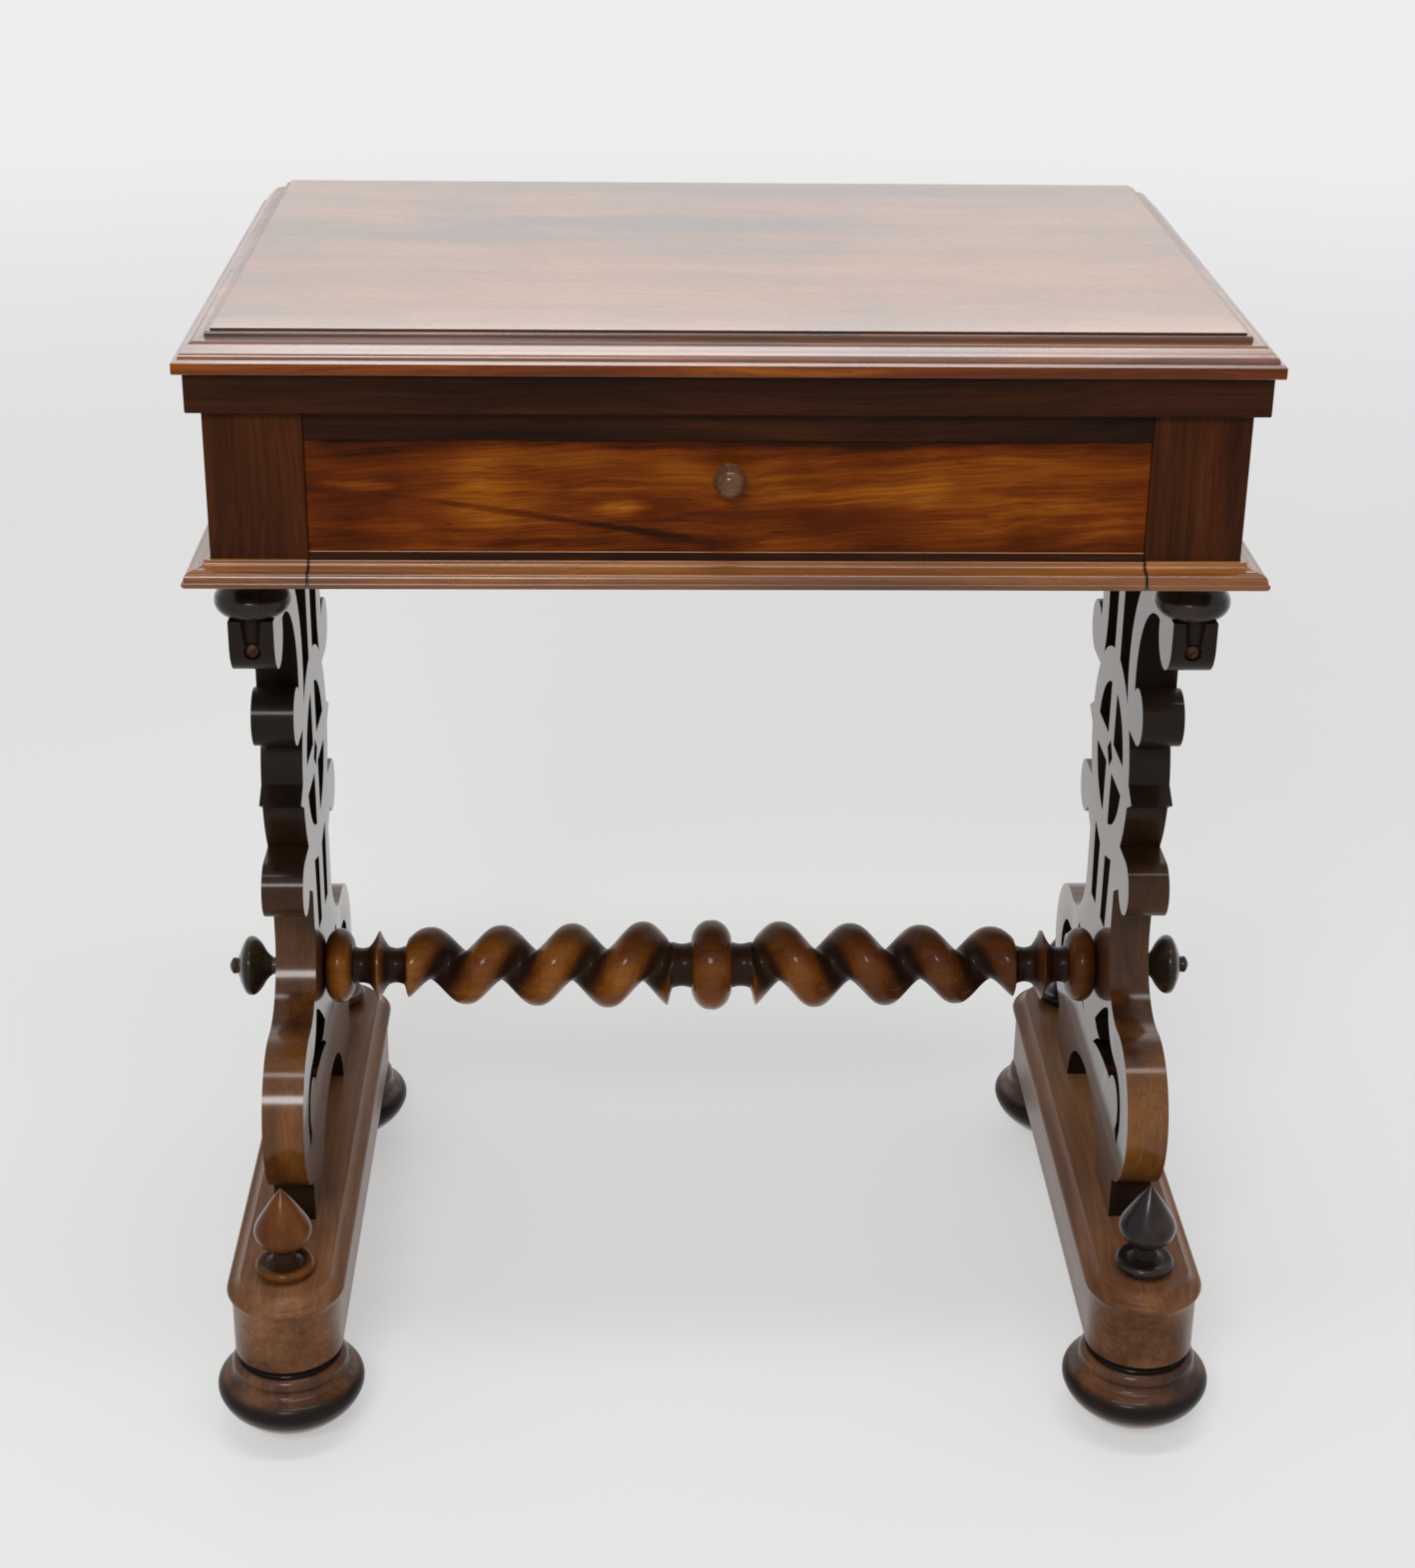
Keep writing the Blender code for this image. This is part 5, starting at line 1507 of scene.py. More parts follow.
@dataclass
class Fretwork:
    """The two sawn end supports, measured out from their centre line and up from their feet."""

    height: float = 0.464
    thick: float = 0.026
    arris: float = 0.0010
    crease: float = math.radians(20)
    faced: float = 0.95
    head_half: float = 0.120
    head_thick: float = 0.022
    hook_front: float = 0.163
    hook_width: float = 0.040
    hook_seat: float = 0.4302
    hook_drop: float = 0.035
    hook_neck: float = 0.012
    strap: float = 0.024
    strap_lap: float = 0.0046
    ring_height: float = 0.279
    ring_outer: float = 0.070
    ring_inner: float = 0.047
    bar_half: float = 0.010
    diamond_half: float = 0.0095
    spur_out: float = 0.084
    spur_half: float = 0.008
    lobe_out: float = 0.080
    lobe_rise: float = 0.0585
    lobe_radius: float = 0.018
    lobe_end: float = -150.0
    stem_half: float = 0.049
    slot_top_half: float = 0.031
    slot_foot_half: float = 0.027
    slot_foot: float = 0.164
    flare_radius: float = 0.045
    volute: Point = (0.106, 0.077)
    volute_radius: float = 0.050
    pad_outer: float = 0.119
    pad_inner: float = 0.066
    foot_arch: float = 0.042
    eye: Point = (0.101, 0.075)
    slit_outer: float = 0.028
    slit_inner: float = 0.018
    slit_end: float = -40.0
    curl_end: float = 150.0
    leaf_crest: float = 0.048
    tail_half: float = 0.020
    tail_rise: float = 0.018
    fork: Point = (2.2, 0.8)
    merge: float = 0.00001
    pocket_drop: float = 0.019
    pocket_past: float = 0.001
    pocket_half: Point = (0.0036, 0.0062)
    pocket_radius: float = 0.0058
    pocket_taper: float = 0.8
    pocket_depth: float = 0.006
    # Painted shade in the openings, on the pads and high up under the top
    shade_strength: float = 0.95
    shaded_heights: Point = (0.18, 0.42)
    pad_shade: float = 0.94
    pad_shaded: Point = (0.022, 0.056)
    screw_radius: float = 0.0042
    screw_rise: float = 0.0013
    screw_sunk: float = 0.0035

    def hook_arch(self) -> tuple[Point, float]:
        """The arch that carries a hook.

        Returns:
            Its centre and its radius.
        """
        inner = self.hook_front - self.hook_width
        top = self.hook_seat - self.hook_neck
        rise = top - self.ring_height
        reach = self.ring_outer + self.strap - self.strap_lap
        radius = (inner**2 + rise**2 - reach**2) / (2 * (rise + reach))
        return (inner, top - radius), radius

    def edge(self) -> Profile:
        """Half of the outer edge, from the top of the centre line to the foot arch.

        Returns:
            The edge as (out, up).
        """
        arch, arch_radius = self.hook_arch()
        half = self.hook_width / 2
        tip = (self.hook_front - half, self.hook_seat - self.hook_drop + half)
        ring = (0.0, self.ring_height)
        lobe = (self.lobe_out, self.ring_height + self.lobe_rise)
        low_lobe = (self.lobe_out, self.ring_height - self.lobe_rise)
        meet = crossing(lobe, self.lobe_radius, arch, arch_radius)
        web = math.degrees(math.asin((self.lobe_rise - self.lobe_radius) / self.ring_outer))
        spur = math.degrees(math.asin(self.spur_half / self.ring_outer))
        points = [(0.0, self.height), (self.head_half, self.height), (self.head_half, self.hook_seat)]
        points += [(self.hook_front, self.hook_seat)] + arc(tip, half, 0, -180)
        points += arc(arch, arch_radius, 90, bearing(arch, meet) % 360)
        points += arc(lobe, self.lobe_radius, bearing(lobe, meet), -90)
        points += arc(ring, self.ring_outer, web, spur, 3)
        points += [(self.spur_out, self.ring_height)]
        points += arc(ring, self.ring_outer, -spur, -web, 3)
        points += arc(low_lobe, self.lobe_radius, 90, self.lobe_end)
        return points + self.foot_edge()

    def foot_edge(self) -> Profile:
        """The lower half of the edge: stem, flare, volute, pad and foot arch.

        Returns:
            The edge as (out, up).
        """
        flare_out = self.stem_half + self.flare_radius
        reach = self.flare_radius + self.volute_radius
        flare_up = self.volute[1] + math.sqrt(reach**2 - (flare_out - self.volute[0]) ** 2)
        flare = (flare_out, flare_up)
        tangent = bearing(flare, self.volute)
        drop = math.sqrt(self.volute_radius**2 - (self.pad_outer - self.volute[0]) ** 2)
        throat = bearing(self.volute, (self.pad_outer, self.volute[1] - drop))
        points = [(self.stem_half, self.ring_height - self.lobe_rise - self.lobe_radius)]
        points += arc(flare, self.flare_radius, 180, tangent + 360)
        points += arc(self.volute, self.volute_radius, tangent + 180, throat)
        points += [(self.pad_outer, 0.0)]
        return points + scaled(arc((0, 0), 1.0, 0, 90), self.pad_inner, self.foot_arch)

    def holes(self) -> list[Profile]:
        """The openings on one side of the centre line.

        Returns:
            Their outlines.
        """
        arch, arch_radius = self.hook_arch()
        strap = arch_radius + self.strap
        ring = (0.0, self.ring_height)
        corner = crossing(ring, self.ring_outer, arch, strap)
        rail = self.height - self.head_thick
        top_angle = 180 - math.degrees(math.asin((rail - arch[1]) / strap))
        bar_angle = math.degrees(math.acos(self.bar_half / self.ring_outer))
        spandrel = arc(ring, self.ring_outer, bar_angle, bearing(ring, corner))
        spandrel += arc(arch, strap, bearing(arch, corner) % 360, top_angle) + [(self.bar_half, rail)]
        start = math.degrees(math.asin(self.bar_half / self.ring_inner))
        quarter = [(self.bar_half, self.bar_half)] + arc((0, 0), self.ring_inner, start, 90 - start)
        upper = [(out, self.ring_height + up) for out, up in quarter]
        lower = [(out, self.ring_height - up) for out, up in quarter]
        slot = [
            (self.bar_half, self.ring_height - math.sqrt(self.ring_outer**2 - self.bar_half**2)),
            (self.slot_top_half, self.ring_height - math.sqrt(self.ring_outer**2 - self.slot_top_half**2)),
            (self.slot_foot_half, self.slot_foot),
            (self.bar_half, self.slot_foot),
        ]
        return [spandrel, upper, lower, slot, self.volute_hole()]

    def volute_hole(self) -> Profile:
        """The slit that curls round the volute's eye and opens into a forked leaf.

        Returns:
            Its outline.
        """
        eye, tail, rise = self.eye, self.tail_half, self.tail_rise
        crest = (eye[0] - self.slit_outer - tail / 2, eye[1] + self.leaf_crest)
        high_tail, low_tail = (tail, eye[1] + rise), (tail, eye[1])
        fork = (self.fork[0] * tail, eye[1] + self.fork[1] * rise)
        slit = arc(eye, self.slit_outer, self.slit_end, 90)
        curl = arc(eye, self.slit_inner, self.curl_end, self.slit_end)
        hollow = (fork[0] - tail / 2, fork[1] - rise / 8)
        leaf = bend(slit[-1], (crest[0] + tail / 2, slit[-1][1]), crest)
        leaf += bend(crest, (crest[0] - tail / 2, crest[1]), high_tail)
        leaf += bend(high_tail, hollow, fork) + bend(fork, hollow, low_tail)
        leaf += bend(low_tail, (fork[0], curl[0][1]), curl[0])
        return slit + leaf + curl

    def build(self) -> None:
        """Saws both supports and cuts the screw pockets in their hooks."""
        half = self.edge()
        outlines = [half + [(-out, up) for out, up in reversed(half)]]
        outlines.append([(x, self.ring_height + y) for x, y in arc((0, 0), self.diamond_half, 0, 270, 90)])
        for hole in self.holes():
            outlines += [hole, [(-out, up) for out, up in reversed(hole)]]
        outlines = [self._distinct(outline) for outline in outlines]
        for side, _ in SIDES:
            node = f"end_support_{side}"
            foot = foot_of(node)
            place = Matrix.Translation((foot.x, 0.0, foot.z))
            mesh = Blank().saw(outlines, self.thick, self.arris).put(place).mesh(f"fretwork_{side}")
            for cutter in self._pockets(place):
                mesh = carved(mesh, cutter)
            finishes = (SUPPORT_EDGE, SUPPORT_FACE)
            piece = Piece(mesh.name, mesh, finishes, "base", "dark_rosewood", self.crease)
            piece.dress(1, lambda polygon: abs(polygon.normal.x) > self.faced).for_node(node)
            piece.mark_darkening(lambda spot, low=foot.z: self._darkening(spot, spot.z - low))
            self._screws(side, place)

    def _darkening(self, spot: Vector, rise: float) -> float:
        """Painted shade: darkest in the openings, on the pads under the volutes and high up under the top.

        Args:
            spot: The place on the support.
            rise: Its height over the runner.

        Returns:
            From 0 to 1.
        """
        if self._in_opening(abs(spot.y), rise):
            return self.shade_strength
        pad = self.pad_shade * (1 - smooth_step(*self.pad_shaded, rise))
        return max(pad, self.shade_strength * smooth_step(*self.shaded_heights, spot.z))

    def _in_opening(self, out: float, rise: float) -> bool:
        """Whether a place lies on the wall of an opening and not on the outer edge.

        Args:
            out: The place's distance from the centre line.
            rise: Its height over the runner.

        Returns:
            True for the walls of the ring, the slots and the volutes.
        """
        margin = 2 * self.arris
        ring = math.hypot(out, rise - self.ring_height) < self.ring_inner + margin
        slot = out < self.slot_top_half + margin and rise > self.slot_foot - margin
        slit = math.dist((out, rise), self.eye) < self.slit_outer + margin
        crest = self.eye[1] + self.leaf_crest
        leaf = out < self.pad_inner and self.foot_arch + margin < rise < crest + margin
        return ring or slot or slit or leaf

    def _screws(self, side: str, place: Matrix) -> None:
        """Puts a slotted screw in each pocket.

        Args:
            side: The support's side.
            place: Where the support stands.
        """
        for end, way in ENDS:
            out = way * (self.hook_front - self.screw_sunk)
            seat = Matrix.Translation((0.0, out, self.hook_seat - self.pocket_drop))
            turn = Matrix.Rotation(-way * RIGHT_ANGLE, 4, "X") @ Matrix.Rotation(way, 4, "Z")
            name = f"pocket_screw_{end}_{side}"
            mesh = screw_head(name, self.screw_radius, self.screw_rise, place @ seat @ turn)
            Piece(name, mesh, (RUSTED,), "base", "iron")

    def _distinct(self, outline: Profile) -> Profile:
        """Drops points that repeat the one before them."""
        return [p for i, p in enumerate(outline) if math.dist(p, outline[i - 1]) > self.merge]

    def _pockets(self, place: Matrix) -> list[Blank]:
        """The gouged screw pockets in the hooks' outer faces.

        Args:
            place: Where the support stands.

        Returns:
            The shapes to cut away.
        """
        cuts = []
        radius, depth = self.pocket_radius, self.pocket_depth
        for _, way in ENDS:
            seat = place @ Matrix.Translation((0.0, way * self.hook_front, self.hook_seat - self.pocket_drop))
            cuts.append(Blank().cone(*self.pocket_half, self.pocket_drop + self.pocket_past, seat))
            sink = Matrix.Translation((0.0, -way * depth, 0.0)) @ Matrix.Rotation(-way * RIGHT_ANGLE, 4, "X")
            cuts.append(Blank().cone(radius * self.pocket_taper, radius, 2 * depth, seat @ sink))
        return cuts


@dataclass
class Bosses:
    """The turned bosses between the hooks and the case."""

    face: float = 0.0155
    belly: float = 0.0067
    height: float = 0.0332
    swell: tuple[Point, ...] = (
        (0.04, 0.74),
        (0.21, 0.58),
        (0.57, 0.465),
        (0.90, 0.36),
        (0.99, 0.285),
        (1.00, 0.21),
        (0.85, 0.12),
        (0.50, 0.04),
    )

    def build(self) -> None:
        """Turns the four bosses."""
        belly = [(self.face + self.belly * swell, self.height * rise) for swell, rise in self.swell]
        outline = flow([(self.face, self.height), *belly, (self.face, 0.0)])
        profile = [(0.0, self.height), *outline, (0.0, 0.0)]
        for end, side in CORNERS:
            node = f"boss_{end}_{side}"
            mesh = Blank().turn(profile).put(Matrix.Translation(foot_of(node))).mesh(f"turned_{node}")
            Piece(mesh.name, mesh, (BOSS,), "base", "ebonised_wood").for_node(node)


@dataclass
class Stretcher:
    """The barley-twist bar between the supports and its end knobs."""

    sides: int = 48
    stations_a_turn: int = 40
    neck_steps: int = 8
    bead_steps: int = 24
    inner: float = 0.2582
    tenon: float = 0.010
    bead_half: float = 0.0135
    bead_radius: float = 0.0305
    neck: float = 0.0155
    neck_length: float = 0.0125
    pitch: float = 0.0475
    crowns: Point = (0.0298, 0.0253)
    grooves: Point = (0.0188, 0.0160)
    lead: float = 0.004
    fullness: float = 1.25
    waist: float = 0.0012
    end_bead_half: float = 0.0095
    end_bead_radius: float = 0.025
    end_neck: float = 0.0128
    end_neck_length: float = 0.010
    collar_half: float = 0.0065
    collar_radius: float = 0.023
    collar_crest: float = 0.0005
    collar_hollow: float = 0.35
    knob_length: float = 0.038
    knob_radius: float = 0.020
    knob_neck: float = 0.0058
    knob_shoulder: float = 0.24
    knob_tip: tuple[Point, ...] = ((0.0, 1.0), (0.10, 0.99), (0.24, 0.95), (0.28, 0.915), (0.26, 0.865))
    knob_cap: tuple[Point, ...] = (
        (0.26, 0.865),
        (0.42, 0.82),
        (0.70, 0.765),
        (0.94, 0.69),
        (1.0, 0.61),
        (0.94, 0.525),
        (0.74, 0.43),
        (0.52, 0.36),
        (0.38, 0.30),
    )
    # Painted shade in the grooves and on top of the twist; darker towards the right end
    groove_shade: float = 0.92
    grooved: Point = (0.0145, 0.0240)
    crest_shade: float = 0.62
    crested: Point = (0.80, 0.99)
    end_darkening: float = 0.5
    end_darkened: Point = (0.02, 0.25)

    def stations(self) -> list[Station]:
        """The bar from its middle outwards.

        Returns:
            Distance, radius, groove depth and turn of the twist at each station.
        """
        bead_centre = self.inner - self.end_bead_half
        collar = bead_centre - self.end_bead_half - self.end_neck_length - self.collar_half
        start = self.bead_half + self.neck_length
        end = collar - self.collar_half - self.end_neck_length
        bead = self._bead(0.0, self.bead_half, self.neck, self.bead_radius)
        rows = [row for row in bead if row[0] >= 0]
        rows += self._neck(self.bead_half, start, self.neck)
        count = round(self.stations_a_turn * (end - start) / self.pitch)
        for i in range(count + 1):
            share = i / count
            distance = start + (end - start) * share
            ease = smooth_step(0.0, self.lead, min(distance - start, end - distance))
            crown = self.crowns[0] + (self.crowns[1] - self.crowns[0]) * share
            groove = self.grooves[0] + (self.grooves[1] - self.grooves[0]) * share
            neck = self.neck if share < 0.5 else self.end_neck
            turn = 2 * math.pi * (distance - start) / self.pitch - math.pi
            rows.append((distance, neck + (crown - neck) * ease, groove * ease, turn))
        rows += self._neck(end, collar - self.collar_half, self.end_neck)
        hollow = self.end_neck + self.collar_hollow * (self.collar_radius - self.end_neck)
        mid = (-self.collar_half / 2, hollow)
        flank = bend((-self.collar_half, self.end_neck), mid, (-self.collar_crest, self.collar_radius))
        rows += [(collar + along, radius, 0.0, 0.0) for along, radius in flank]
        rows += [(collar - along, radius, 0.0, 0.0) for along, radius in reversed(flank)]
        rows += self._neck(collar + self.collar_half, bead_centre - self.end_bead_half, self.end_neck)
        rows += self._bead(bead_centre, self.end_bead_half, self.end_neck, self.end_bead_radius)
        return rows + [(self.inner, self.tenon, 0.0, 0.0)]

    def _neck(self, start: float, end: float, radius: float) -> list[Station]:
        """A slightly hollowed neck between two members.

        Args:
            start: Where it starts along the bar.
            end: Where it ends.
            radius: Its radius at both ends.

        Returns:
            Its stations, without the ends.
        """
        shares = [i / self.neck_steps for i in range(1, self.neck_steps)]
        return [
            (start + (end - start) * share, radius - self.waist * math.sin(math.pi * share), 0.0, 0.0)
            for share in shares
        ]

    def _bead(self, centre: float, half: float, root: float, crown: float) -> list[Station]:
        """A rounded bead.

        Args:
            centre: Its middle along the bar.
            half: Half of its length.
            root: The bar's radius beside it.
            crown: Its own radius.

        Returns:
            Its stations, both ends included.
        """
        angles = [math.pi * i / self.bead_steps for i in range(self.bead_steps + 1)]
        swell = crown - root
        return [(centre - half * math.cos(a), root + swell * math.sin(a), 0.0, 0.0) for a in angles]

    def ring(self, station: Station, sign: int, height: float) -> list[Spot]:
        """One cross-section of the bar.

        Args:
            station: Distance, radius, groove depth and turn.
            sign: Which half of the bar; the halves wind opposite ways.
            height: The height of the axis.

        Returns:
            The section's points.
        """
        distance, radius, groove, turn = station
        points = []
        for i in range(self.sides):
            angle = 2 * math.pi * i / self.sides
            reach = radius - groove * ((1 - math.cos(angle - turn)) / 2) ** self.fullness
            points.append((sign * distance, -reach * math.sin(angle), height + reach * math.cos(angle)))
        return points

    def build(self) -> None:
        """Makes the bar and the knobs outside its ends."""
        axis = middle_of("stretcher").z
        rows = self.stations()
        rings = [self.ring(row, -1, axis) for row in reversed(rows[1:])]
        rings += [self.ring(row, 1, axis) for row in rows]
        mesh = Blank().sweep(rings).mesh("barley_twist")
        piece = Piece(mesh.name, mesh, (TWIST,), "base", "figured_rosewood").for_node("stretcher")
        piece.mark_darkening(lambda spot: self._darkness(spot, axis))
        knob = flow(scaled(self.knob_tip, self.knob_radius, self.knob_length))
        knob += flow(scaled(self.knob_cap, self.knob_radius, self.knob_length))[1:]
        shoulder = self.knob_shoulder * self.knob_length
        knob += [(self.knob_neck, shoulder), (self.knob_neck, 0.0), (0.0, 0.0)]
        for side, sign in SIDES:
            node = f"stretcher_knob_{side}"
            low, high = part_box(node)
            end = high.x if sign > 0 else low.x
            seat = Matrix.Translation((end - sign * self.knob_length, 0.0, axis))
            place = seat @ Matrix.Rotation(sign * RIGHT_ANGLE, 4, "Y")
            mesh = Blank().turn(knob).put(place).mesh(f"turned_{node}")
            Piece(mesh.name, mesh, (BRONZED,), "base", "ebonised_wood").for_node(node)

    def _darkness(self, spot: Vector, axis: float) -> float:
        """Painted shade in the grooves and necks and on top of the twist, and darker towards the right end.

        Args:
            spot: The place on the bar.
            axis: The height of its axis.

        Returns:
            From 0 to 1.
        """
        reach = math.hypot(spot.y, spot.z - axis)
        groove = self.groove_shade * (1 - smooth_step(*self.grooved, reach))
        crest = self.crest_shade * smooth_step(*self.crested, (spot.z - axis) / reach)
        return max(groove, crest, self.end_darkening * smooth_step(*self.end_darkened, spot.x))


@dataclass
class Runners:
    """The runners under the supports with their moulded lips and the finials on their ends."""

    half_width: float = 0.034
    arris: float = 0.0006
    lip: float = 0.003
    lip_height: float = 0.015
    height: float = 0.053
    ends_out: float = 0.1785
    finial_height: float = 0.062
    bulb: float = 0.018
    flange: float = 0.0185
    neck: float = 0.007
    neck_span: Point = (0.27, 0.20)
    drop: tuple[Point, ...] = (
        (0.0, 1.0),
        (0.19, 0.92),
        (0.40, 0.835),
        (0.70, 0.70),
        (0.93, 0.585),
        (1.0, 0.50),
        (0.90, 0.405),
        (0.60, 0.325),
    )
    dish: tuple[Point, ...] = (
        (0.42, 0.165),
        (0.62, 0.135),
        (0.80, 0.137),
        (0.92, 0.135),
        (1.0, 0.095),
        (0.95, 0.045),
        (0.82, 0.0),
    )
    # Painted shade on the neck and in the flange's dish
    painted_shade: float = 0.8
    rim_span: Point = (0.66, 0.88)
    neck_shaded: Point = (0.10, 0.32)
    neck_fade: float = 0.10

    def profile(self) -> Profile:
        """The runner's side.

        Returns:
            Half width and height from the bottom up.
        """
        half, lip, foot = self.half_width, self.lip, self.height - self.lip_height
        points = [(half - self.arris, 0.0), (half, self.arris), (half, foot)]
        points += arc((half, foot + 2 * lip), lip, -60, 60, 12)
        return points + bend(points[-1], (half - lip, foot + 3 * lip), (half - 2 * lip, self.height))[1:]

    def build(self) -> None:
        """Makes the runners and their finials."""
        for side, _ in SIDES:
            node = f"runner_{side}"
            foot = foot_of(node)
            rings = []
            for radius, height in self.profile():
                front = arc((foot.x, -self.ends_out), radius, 180, 360)
                back = arc((foot.x, self.ends_out), radius, 0, 180)
                rings.append([(x, y, foot.z + height) for x, y in front + back])
            mesh = Blank().sweep(rings).mesh(f"moulded_{node}")
            Piece(mesh.name, mesh, (RUNNER,), "base", "rosewood").for_node(node)
            for end, _ in ENDS:
                self._finial(f"finial_{end}_{side}", side == "left")

    def _finial(self, node: str, figured: bool) -> None:
        """Turns one finial.

        Args:
            node: The solid that it stands for.
            figured: Whether it is of figured timber, and not blackened.
        """
        height = self.finial_height
        profile = flow(scaled(self.drop, self.bulb, height))
        profile += [(self.neck, share * height) for share in self.neck_span]
        profile += [*flow(scaled(self.dish, self.flange, height)), (0.0, 0.0)]
        centre = middle_of(node)
        place = Matrix.Translation((centre.x, centre.y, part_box(node)[1].z - height))
        mesh = Blank().turn(profile).put(place).mesh(f"turned_{node}")
        finish, slot = (FINIAL, "figured_rosewood") if figured else (BLACK, "ebonised_wood")
        piece = Piece(mesh.name, mesh, (finish,), "base", slot).for_node(node)
        piece.mark_darkening(lambda spot: self._darkening(spot - place.translation))

    def _darkening(self, spot: Vector) -> float:
        """Painted shade on the neck and in the dish of the flange, under the bulb.

        Args:
            spot: The place on the finial, from the middle of its foot.

        Returns:
            From 0 to 1.
        """
        dish = 1 - smooth_step(*self.rim_span, math.hypot(spot.x, spot.y) / self.flange)
        low, high = self.neck_shaded
        over = smooth_step(high, high + self.neck_fade, spot.z / self.finial_height)
        return self.painted_shade * dish * (1 - over) if spot.z > low * self.finial_height else 0.0


@dataclass
class Feet:
    """The bun feet and the castors in their hollows."""

    height: float = 0.052
    girth: float = 0.0465
    seat: float = 0.0325
    gap: float = 0.0305
    gap_span: Point = (0.95, 0.915)
    collar: tuple[Point, ...] = (
        (0.665, 0.905),
        (0.735, 0.888),
        (0.782, 0.835),
        (0.785, 0.775),
        (0.76, 0.725),
    )
    rim: tuple[Point, ...] = (
        (0.765, 0.71),
        (0.80, 0.665),
        (0.88, 0.63),
        (0.95, 0.595),
        (0.99, 0.54),
        (1.0, 0.475),
        (0.98, 0.40),
        (0.90, 0.27),
        (0.75, 0.13),
    )
    facets: int = 96
    sole: float = 0.026
    hollow_radius: float = 0.020
    hollow_depth: float = 0.022
    # Darker at the rim; painted shade in the gap under the runner
    rim_span: Point = (0.0410, 0.0458)
    gap_shaded: Point = (0.0312, 0.0345)
    wheel_radius: float = 0.0095
    wheel_half: float = 0.0055
    wheel_ease: float = 0.0012
    wheel_facets: int = 48
    hub: float = 0.0023

    def profile(self) -> Profile:
        """A foot's side.

        Returns:
            Radius and height from the top of its axis round to the hollow.
        """
        height, girth, hollow = self.height, self.girth, self.hollow_radius
        points = [(0.0, height), (self.seat, height)]
        points += [(self.gap, share * height) for share in self.gap_span]
        points += flow(scaled(self.collar, girth, height))
        points += flow([*scaled(self.rim, girth, height), (self.sole, 0.0)])
        return points + [(hollow, 0.0), (hollow, self.hollow_depth), (0.0, self.hollow_depth)]

    def build(self) -> None:
        """Turns the feet and the castor wheels and dresses the forks."""
        profile = self.profile()
        for end, side in CORNERS:
            node = f"bun_foot_{end}_{side}"
            foot = foot_of(node)
            blank = Blank().turn(profile, self.facets).put(Matrix.Translation(foot))
            mesh = blank.mesh(f"turned_{node}")
            piece = Piece(mesh.name, mesh, (FOOT,), "base", "ebonised_wood").for_node(node)
            piece.mark_darkening(lambda spot, sole=foot: self._darkening(spot - sole))
            dress_nodes(BRASS, f"castor_fork_{end}_{side}")
            self._wheel(f"castor_wheel_{end}_{side}", f"wheel_{end}_{side}")

    def _darkening(self, spot: Vector) -> float:
        """Darker at the rim, and painted shade in the gap under the runner.

        Args:
            spot: The place on the foot, from the middle of its sole.

        Returns:
            From 0 to 1.
        """
        reach = math.hypot(spot.x, spot.y)
        gap = 1 - smooth_step(*self.gap_shaded, reach) if spot.z > self.height / 2 else 0.0
        return max(gap, smooth_step(*self.rim_span, reach))

    def _wheel(self, node: str, body: str) -> None:
        """Turns one castor wheel.

        Args:
            node: The solid that it stands for.
            body: The body that it rides on.
        """
        ease, half = self.wheel_ease, self.wheel_half
        tread = [(self.hub, half), (self.wheel_radius - ease, half)]
        tread += arc((self.wheel_radius - ease, half - ease), ease, 90, 0, 30)
        profile = tread + [(radius, -height) for radius, height in reversed(tread)] + tread[:1]
        place = Matrix.Translation(middle_of(node)) @ Matrix.Rotation(RIGHT_ANGLE, 4, "Y")
        mesh = Blank().turn(profile, self.wheel_facets).put(place).mesh(f"turned_{node}")
        Piece(mesh.name, mesh, (BRASS,), body, "brass").for_node(node)


@dataclass(frozen=True)
class Softbox:
    """A soft lamp that looks at the table.

    Attributes:
        name: Its name.
        place: Where it hangs.
        size: Its width and its height.
        power: Its power in watts.
    """

    name: str
    place: Spot
    size: Point
    power: float


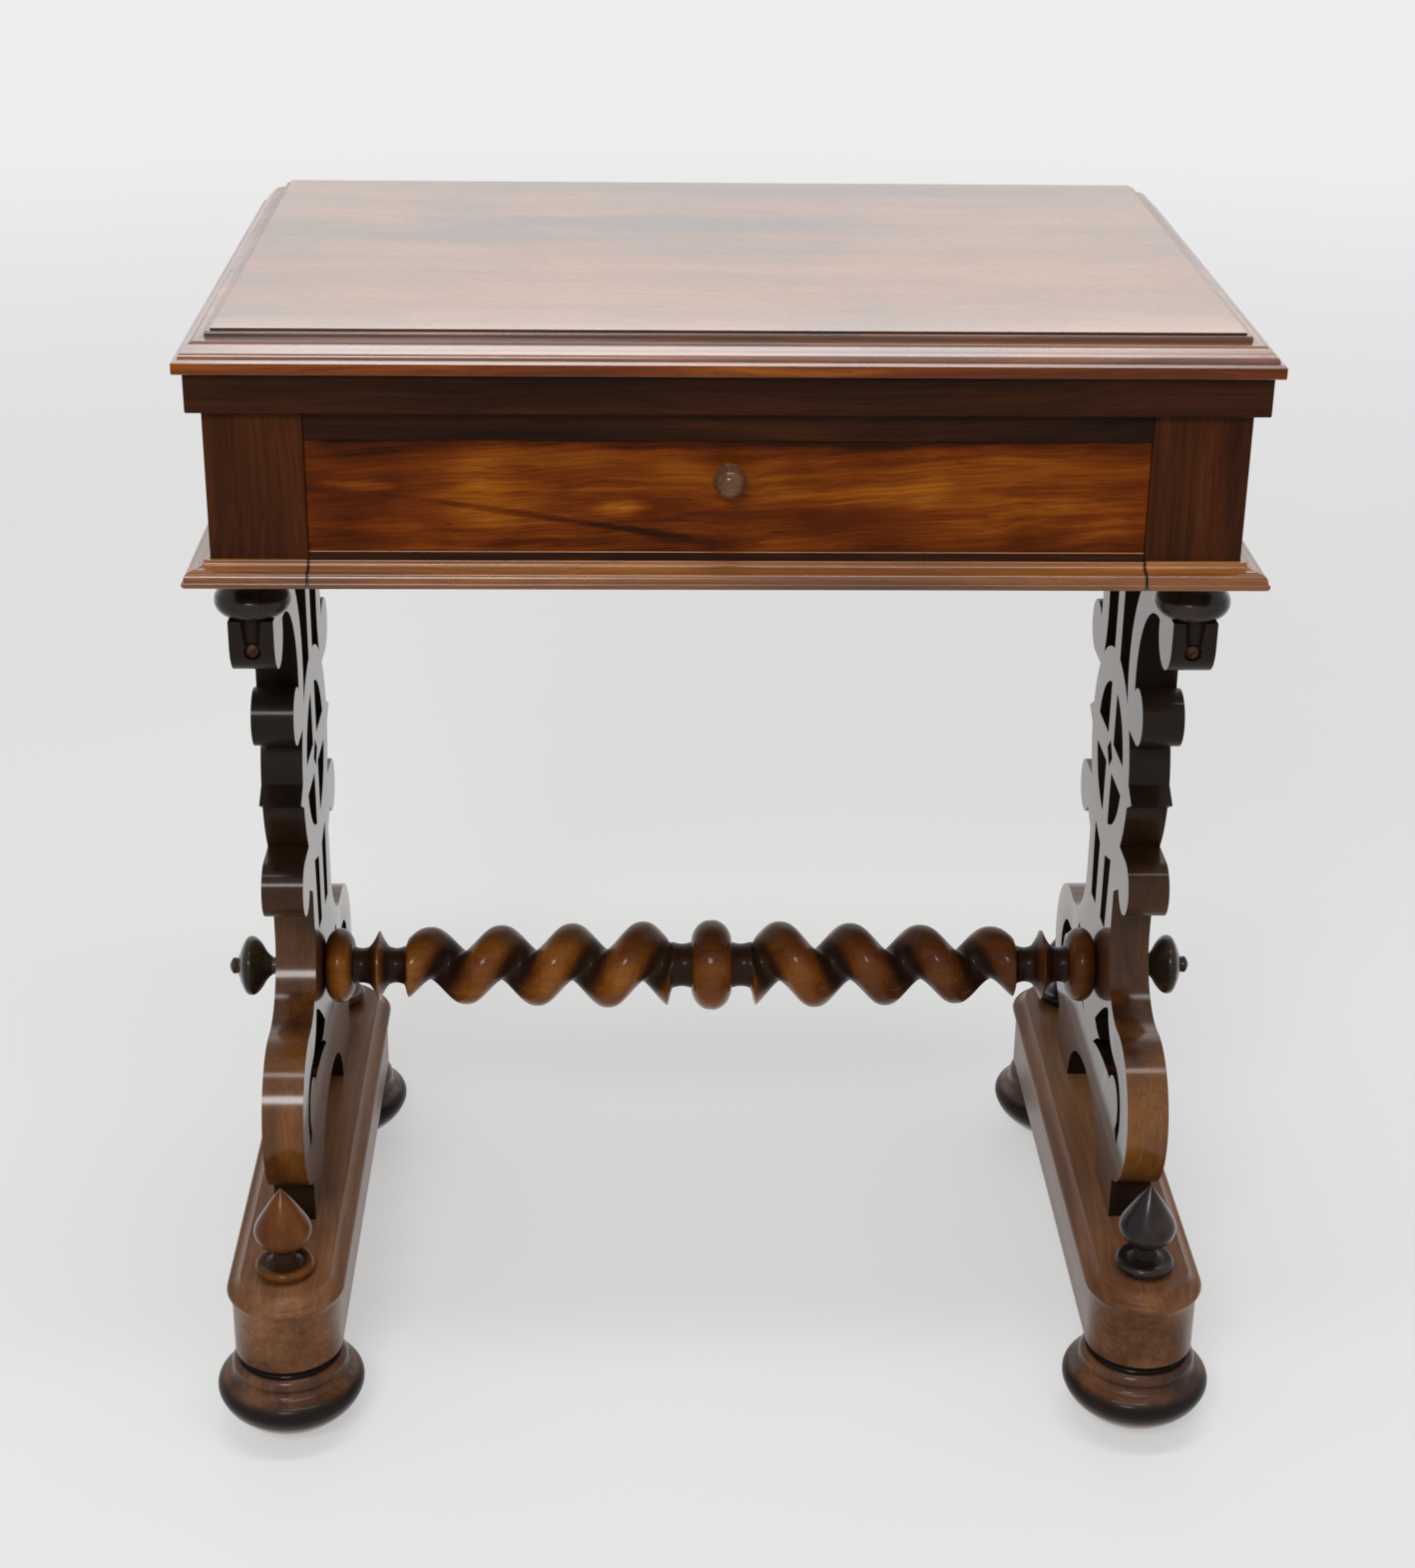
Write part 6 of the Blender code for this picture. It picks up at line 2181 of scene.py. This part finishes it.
@dataclass
class Studio:
    """The plain pale room: floor, soft light and the camera."""

    image_size: tuple[int, int] = (1418, 1571)
    focal_pixels: float = 2737.2
    pitch: float = 24.008
    yaw: float = 1.748
    roll: float = -0.731
    eye: Spot = (-0.0539, -1.6306, 1.0968)
    sensor: float = 36.0
    floor_radius: float = 9.0
    floor_sides: int = 128
    floor_colour: Colour = (0.86, 0.86, 0.85)
    floor_tint: Colour = (0.74, 0.735, 0.72)
    floor_tinted: float = 0.25
    floor_clouds: Spot = (5.0, 5.0, 5.0)
    floor_roughness: float = 0.9
    floor_glow: float = 0.50
    floor_fade: Point = (1.3, 4.5)
    backdrop: float = 0.86
    ambient: float = 0.45
    aim: Spot = (0.0, 0.0, 0.45)
    lamps: tuple[Softbox, ...] = (
        Softbox("ceiling_softbox", (0.06, -0.55, 2.40), (1.36, 0.25), 13.6),
        Softbox("front_softbox", (-0.50, -2.30, 2.00), (0.8, 0.5), 30.0),
        Softbox("back_softbox", (0.0, 3.0, 2.2), (3.4, 1.3), 13.0),
    )

    def build(self) -> None:
        """Sets up the room."""
        bpy.context.scene.view_settings.view_transform = "Standard"
        self._camera()
        self._world()
        self._floor()
        for lamp in self.lamps:
            self._hang(lamp)

    def _camera(self) -> None:
        """The camera at the photograph's view."""
        pitch, yaw, roll = (math.radians(angle) for angle in (self.pitch, self.yaw, self.roll))
        ahead = math.cos(pitch)
        forward = Vector((math.sin(yaw) * ahead, math.cos(yaw) * ahead, -math.sin(pitch)))
        level = Vector((math.cos(yaw), -math.sin(yaw), 0.0))
        down = forward.cross(level)
        right = math.cos(roll) * level + math.sin(roll) * down
        below = -math.sin(roll) * level + math.cos(roll) * down
        data = bpy.data.cameras.new("photo_camera")
        data.sensor_width = self.sensor
        data.lens = self.focal_pixels / max(self.image_size) * self.sensor
        camera = bpy.data.objects.new("photo_camera", data)
        turn = Matrix((right, -below, -forward)).transposed()
        camera.matrix_world = Matrix.Translation(self.eye) @ turn.to_4x4()
        bpy.context.scene.collection.objects.link(camera)
        bpy.context.scene.camera = camera

    @staticmethod
    def _seen(shade: Shade) -> Level:
        """1 for rays that show the room itself: straight, mirrored or through glass.

        Args:
            shade: The nodes it is added to.

        Returns:
            The level.
        """
        path = shade.node("ShaderNodeLightPath")
        seen = Level(shade, path.outputs["Is Camera Ray"])
        for name in ("Is Glossy Ray", "Is Transmission Ray"):
            seen = seen.math("MAXIMUM", seen, Level(shade, path.outputs[name]))
        return seen

    def _world(self) -> None:
        """Even light from all round, seen as a pale backdrop."""
        world = bpy.data.worlds.new("pale_room")
        bpy.context.scene.world = world
        shade = Shade(world)
        white = (1.0, 1.0, 1.0, 1.0)
        light = shade.node("ShaderNodeBackground", None, {"Color": white, "Strength": self.ambient})
        seen = shade.node("ShaderNodeBackground", None, {"Color": white, "Strength": self.backdrop})
        inputs = {0: self._seen(shade), 1: light.outputs[0], 2: seen.outputs[0]}
        shade.surface(shade.node("ShaderNodeMixShader", None, inputs).outputs[0], "ShaderNodeOutputWorld")

    def _floor(self) -> None:
        """A wide pale floor that passes into the backdrop."""
        blank = Blank()
        bmesh.ops.create_circle(
            blank.bm, cap_ends=True, cap_tris=False, segments=self.floor_sides, radius=self.floor_radius
        )
        floor = bpy.data.objects.new("studio_floor", blank.mesh("studio_floor"))
        bpy.context.scene.collection.objects.link(floor)
        paper = bpy.data.materials.new("floor_paper")
        shade = Shade(paper)
        place = shade.place()
        far = shade.level("ShaderNodeVectorMath", "Value", {"operation": "LENGTH"}, {0: place})
        faint = shade.noise(place, self.floor_clouds, 4.0)
        tint = shade.mix(self.floor_tinted * faint, self.floor_colour, self.floor_tint)
        inputs = {"Base Color": tint, "Roughness": self.floor_roughness}
        matt = shade.node("ShaderNodeBsdfPrincipled", None, inputs)
        glow = shade.node("ShaderNodeEmission", None, {"Strength": self.backdrop})
        share = self.floor_glow + (1.0 - self.floor_glow) * far.between(*self.floor_fade)
        inputs = {0: share * self._seen(shade), 1: matt.outputs[0], 2: glow.outputs[0]}
        shade.surface(shade.node("ShaderNodeMixShader", None, inputs).outputs[0])
        floor.data.materials.append(paper)

    def _hang(self, lamp: Softbox) -> None:
        """Adds a lamp that looks at the table.

        Args:
            lamp: The lamp.
        """
        data = bpy.data.lights.new(lamp.name, "AREA")
        data.shape = "RECTANGLE"
        data.size, data.size_y = lamp.size
        data.energy = lamp.power
        box = bpy.data.objects.new(lamp.name, data)
        aim = (Vector(self.aim) - Vector(lamp.place)).to_track_quat("-Z", "Y")
        box.matrix_world = Matrix.Translation(lamp.place) @ aim.to_matrix().to_4x4()
        bpy.context.scene.collection.objects.link(box)


def clear_start_up() -> None:
    """Removes what the start-up scene holds beside the frame."""
    kept = {*frame["nodes"].values(), *frame["bodies"].values()}
    for item in list(bpy.context.scene.objects):
        if item not in kept:
            bpy.data.objects.remove(item, do_unlink=True)


def main() -> None:
    """Builds the room and dresses each part of the table in turn."""
    logging.basicConfig(level=logging.INFO, format="%(name)s: %(message)s")
    clear_start_up()
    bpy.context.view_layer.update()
    for part in (Studio(), Top(), Case(), Drawer(), Fretwork(), Bosses(), Stretcher(), Runners(), Feet()):
        LOG.info("building %s", type(part).__name__)
        part.build()


if __name__ == "__main__":
    main()
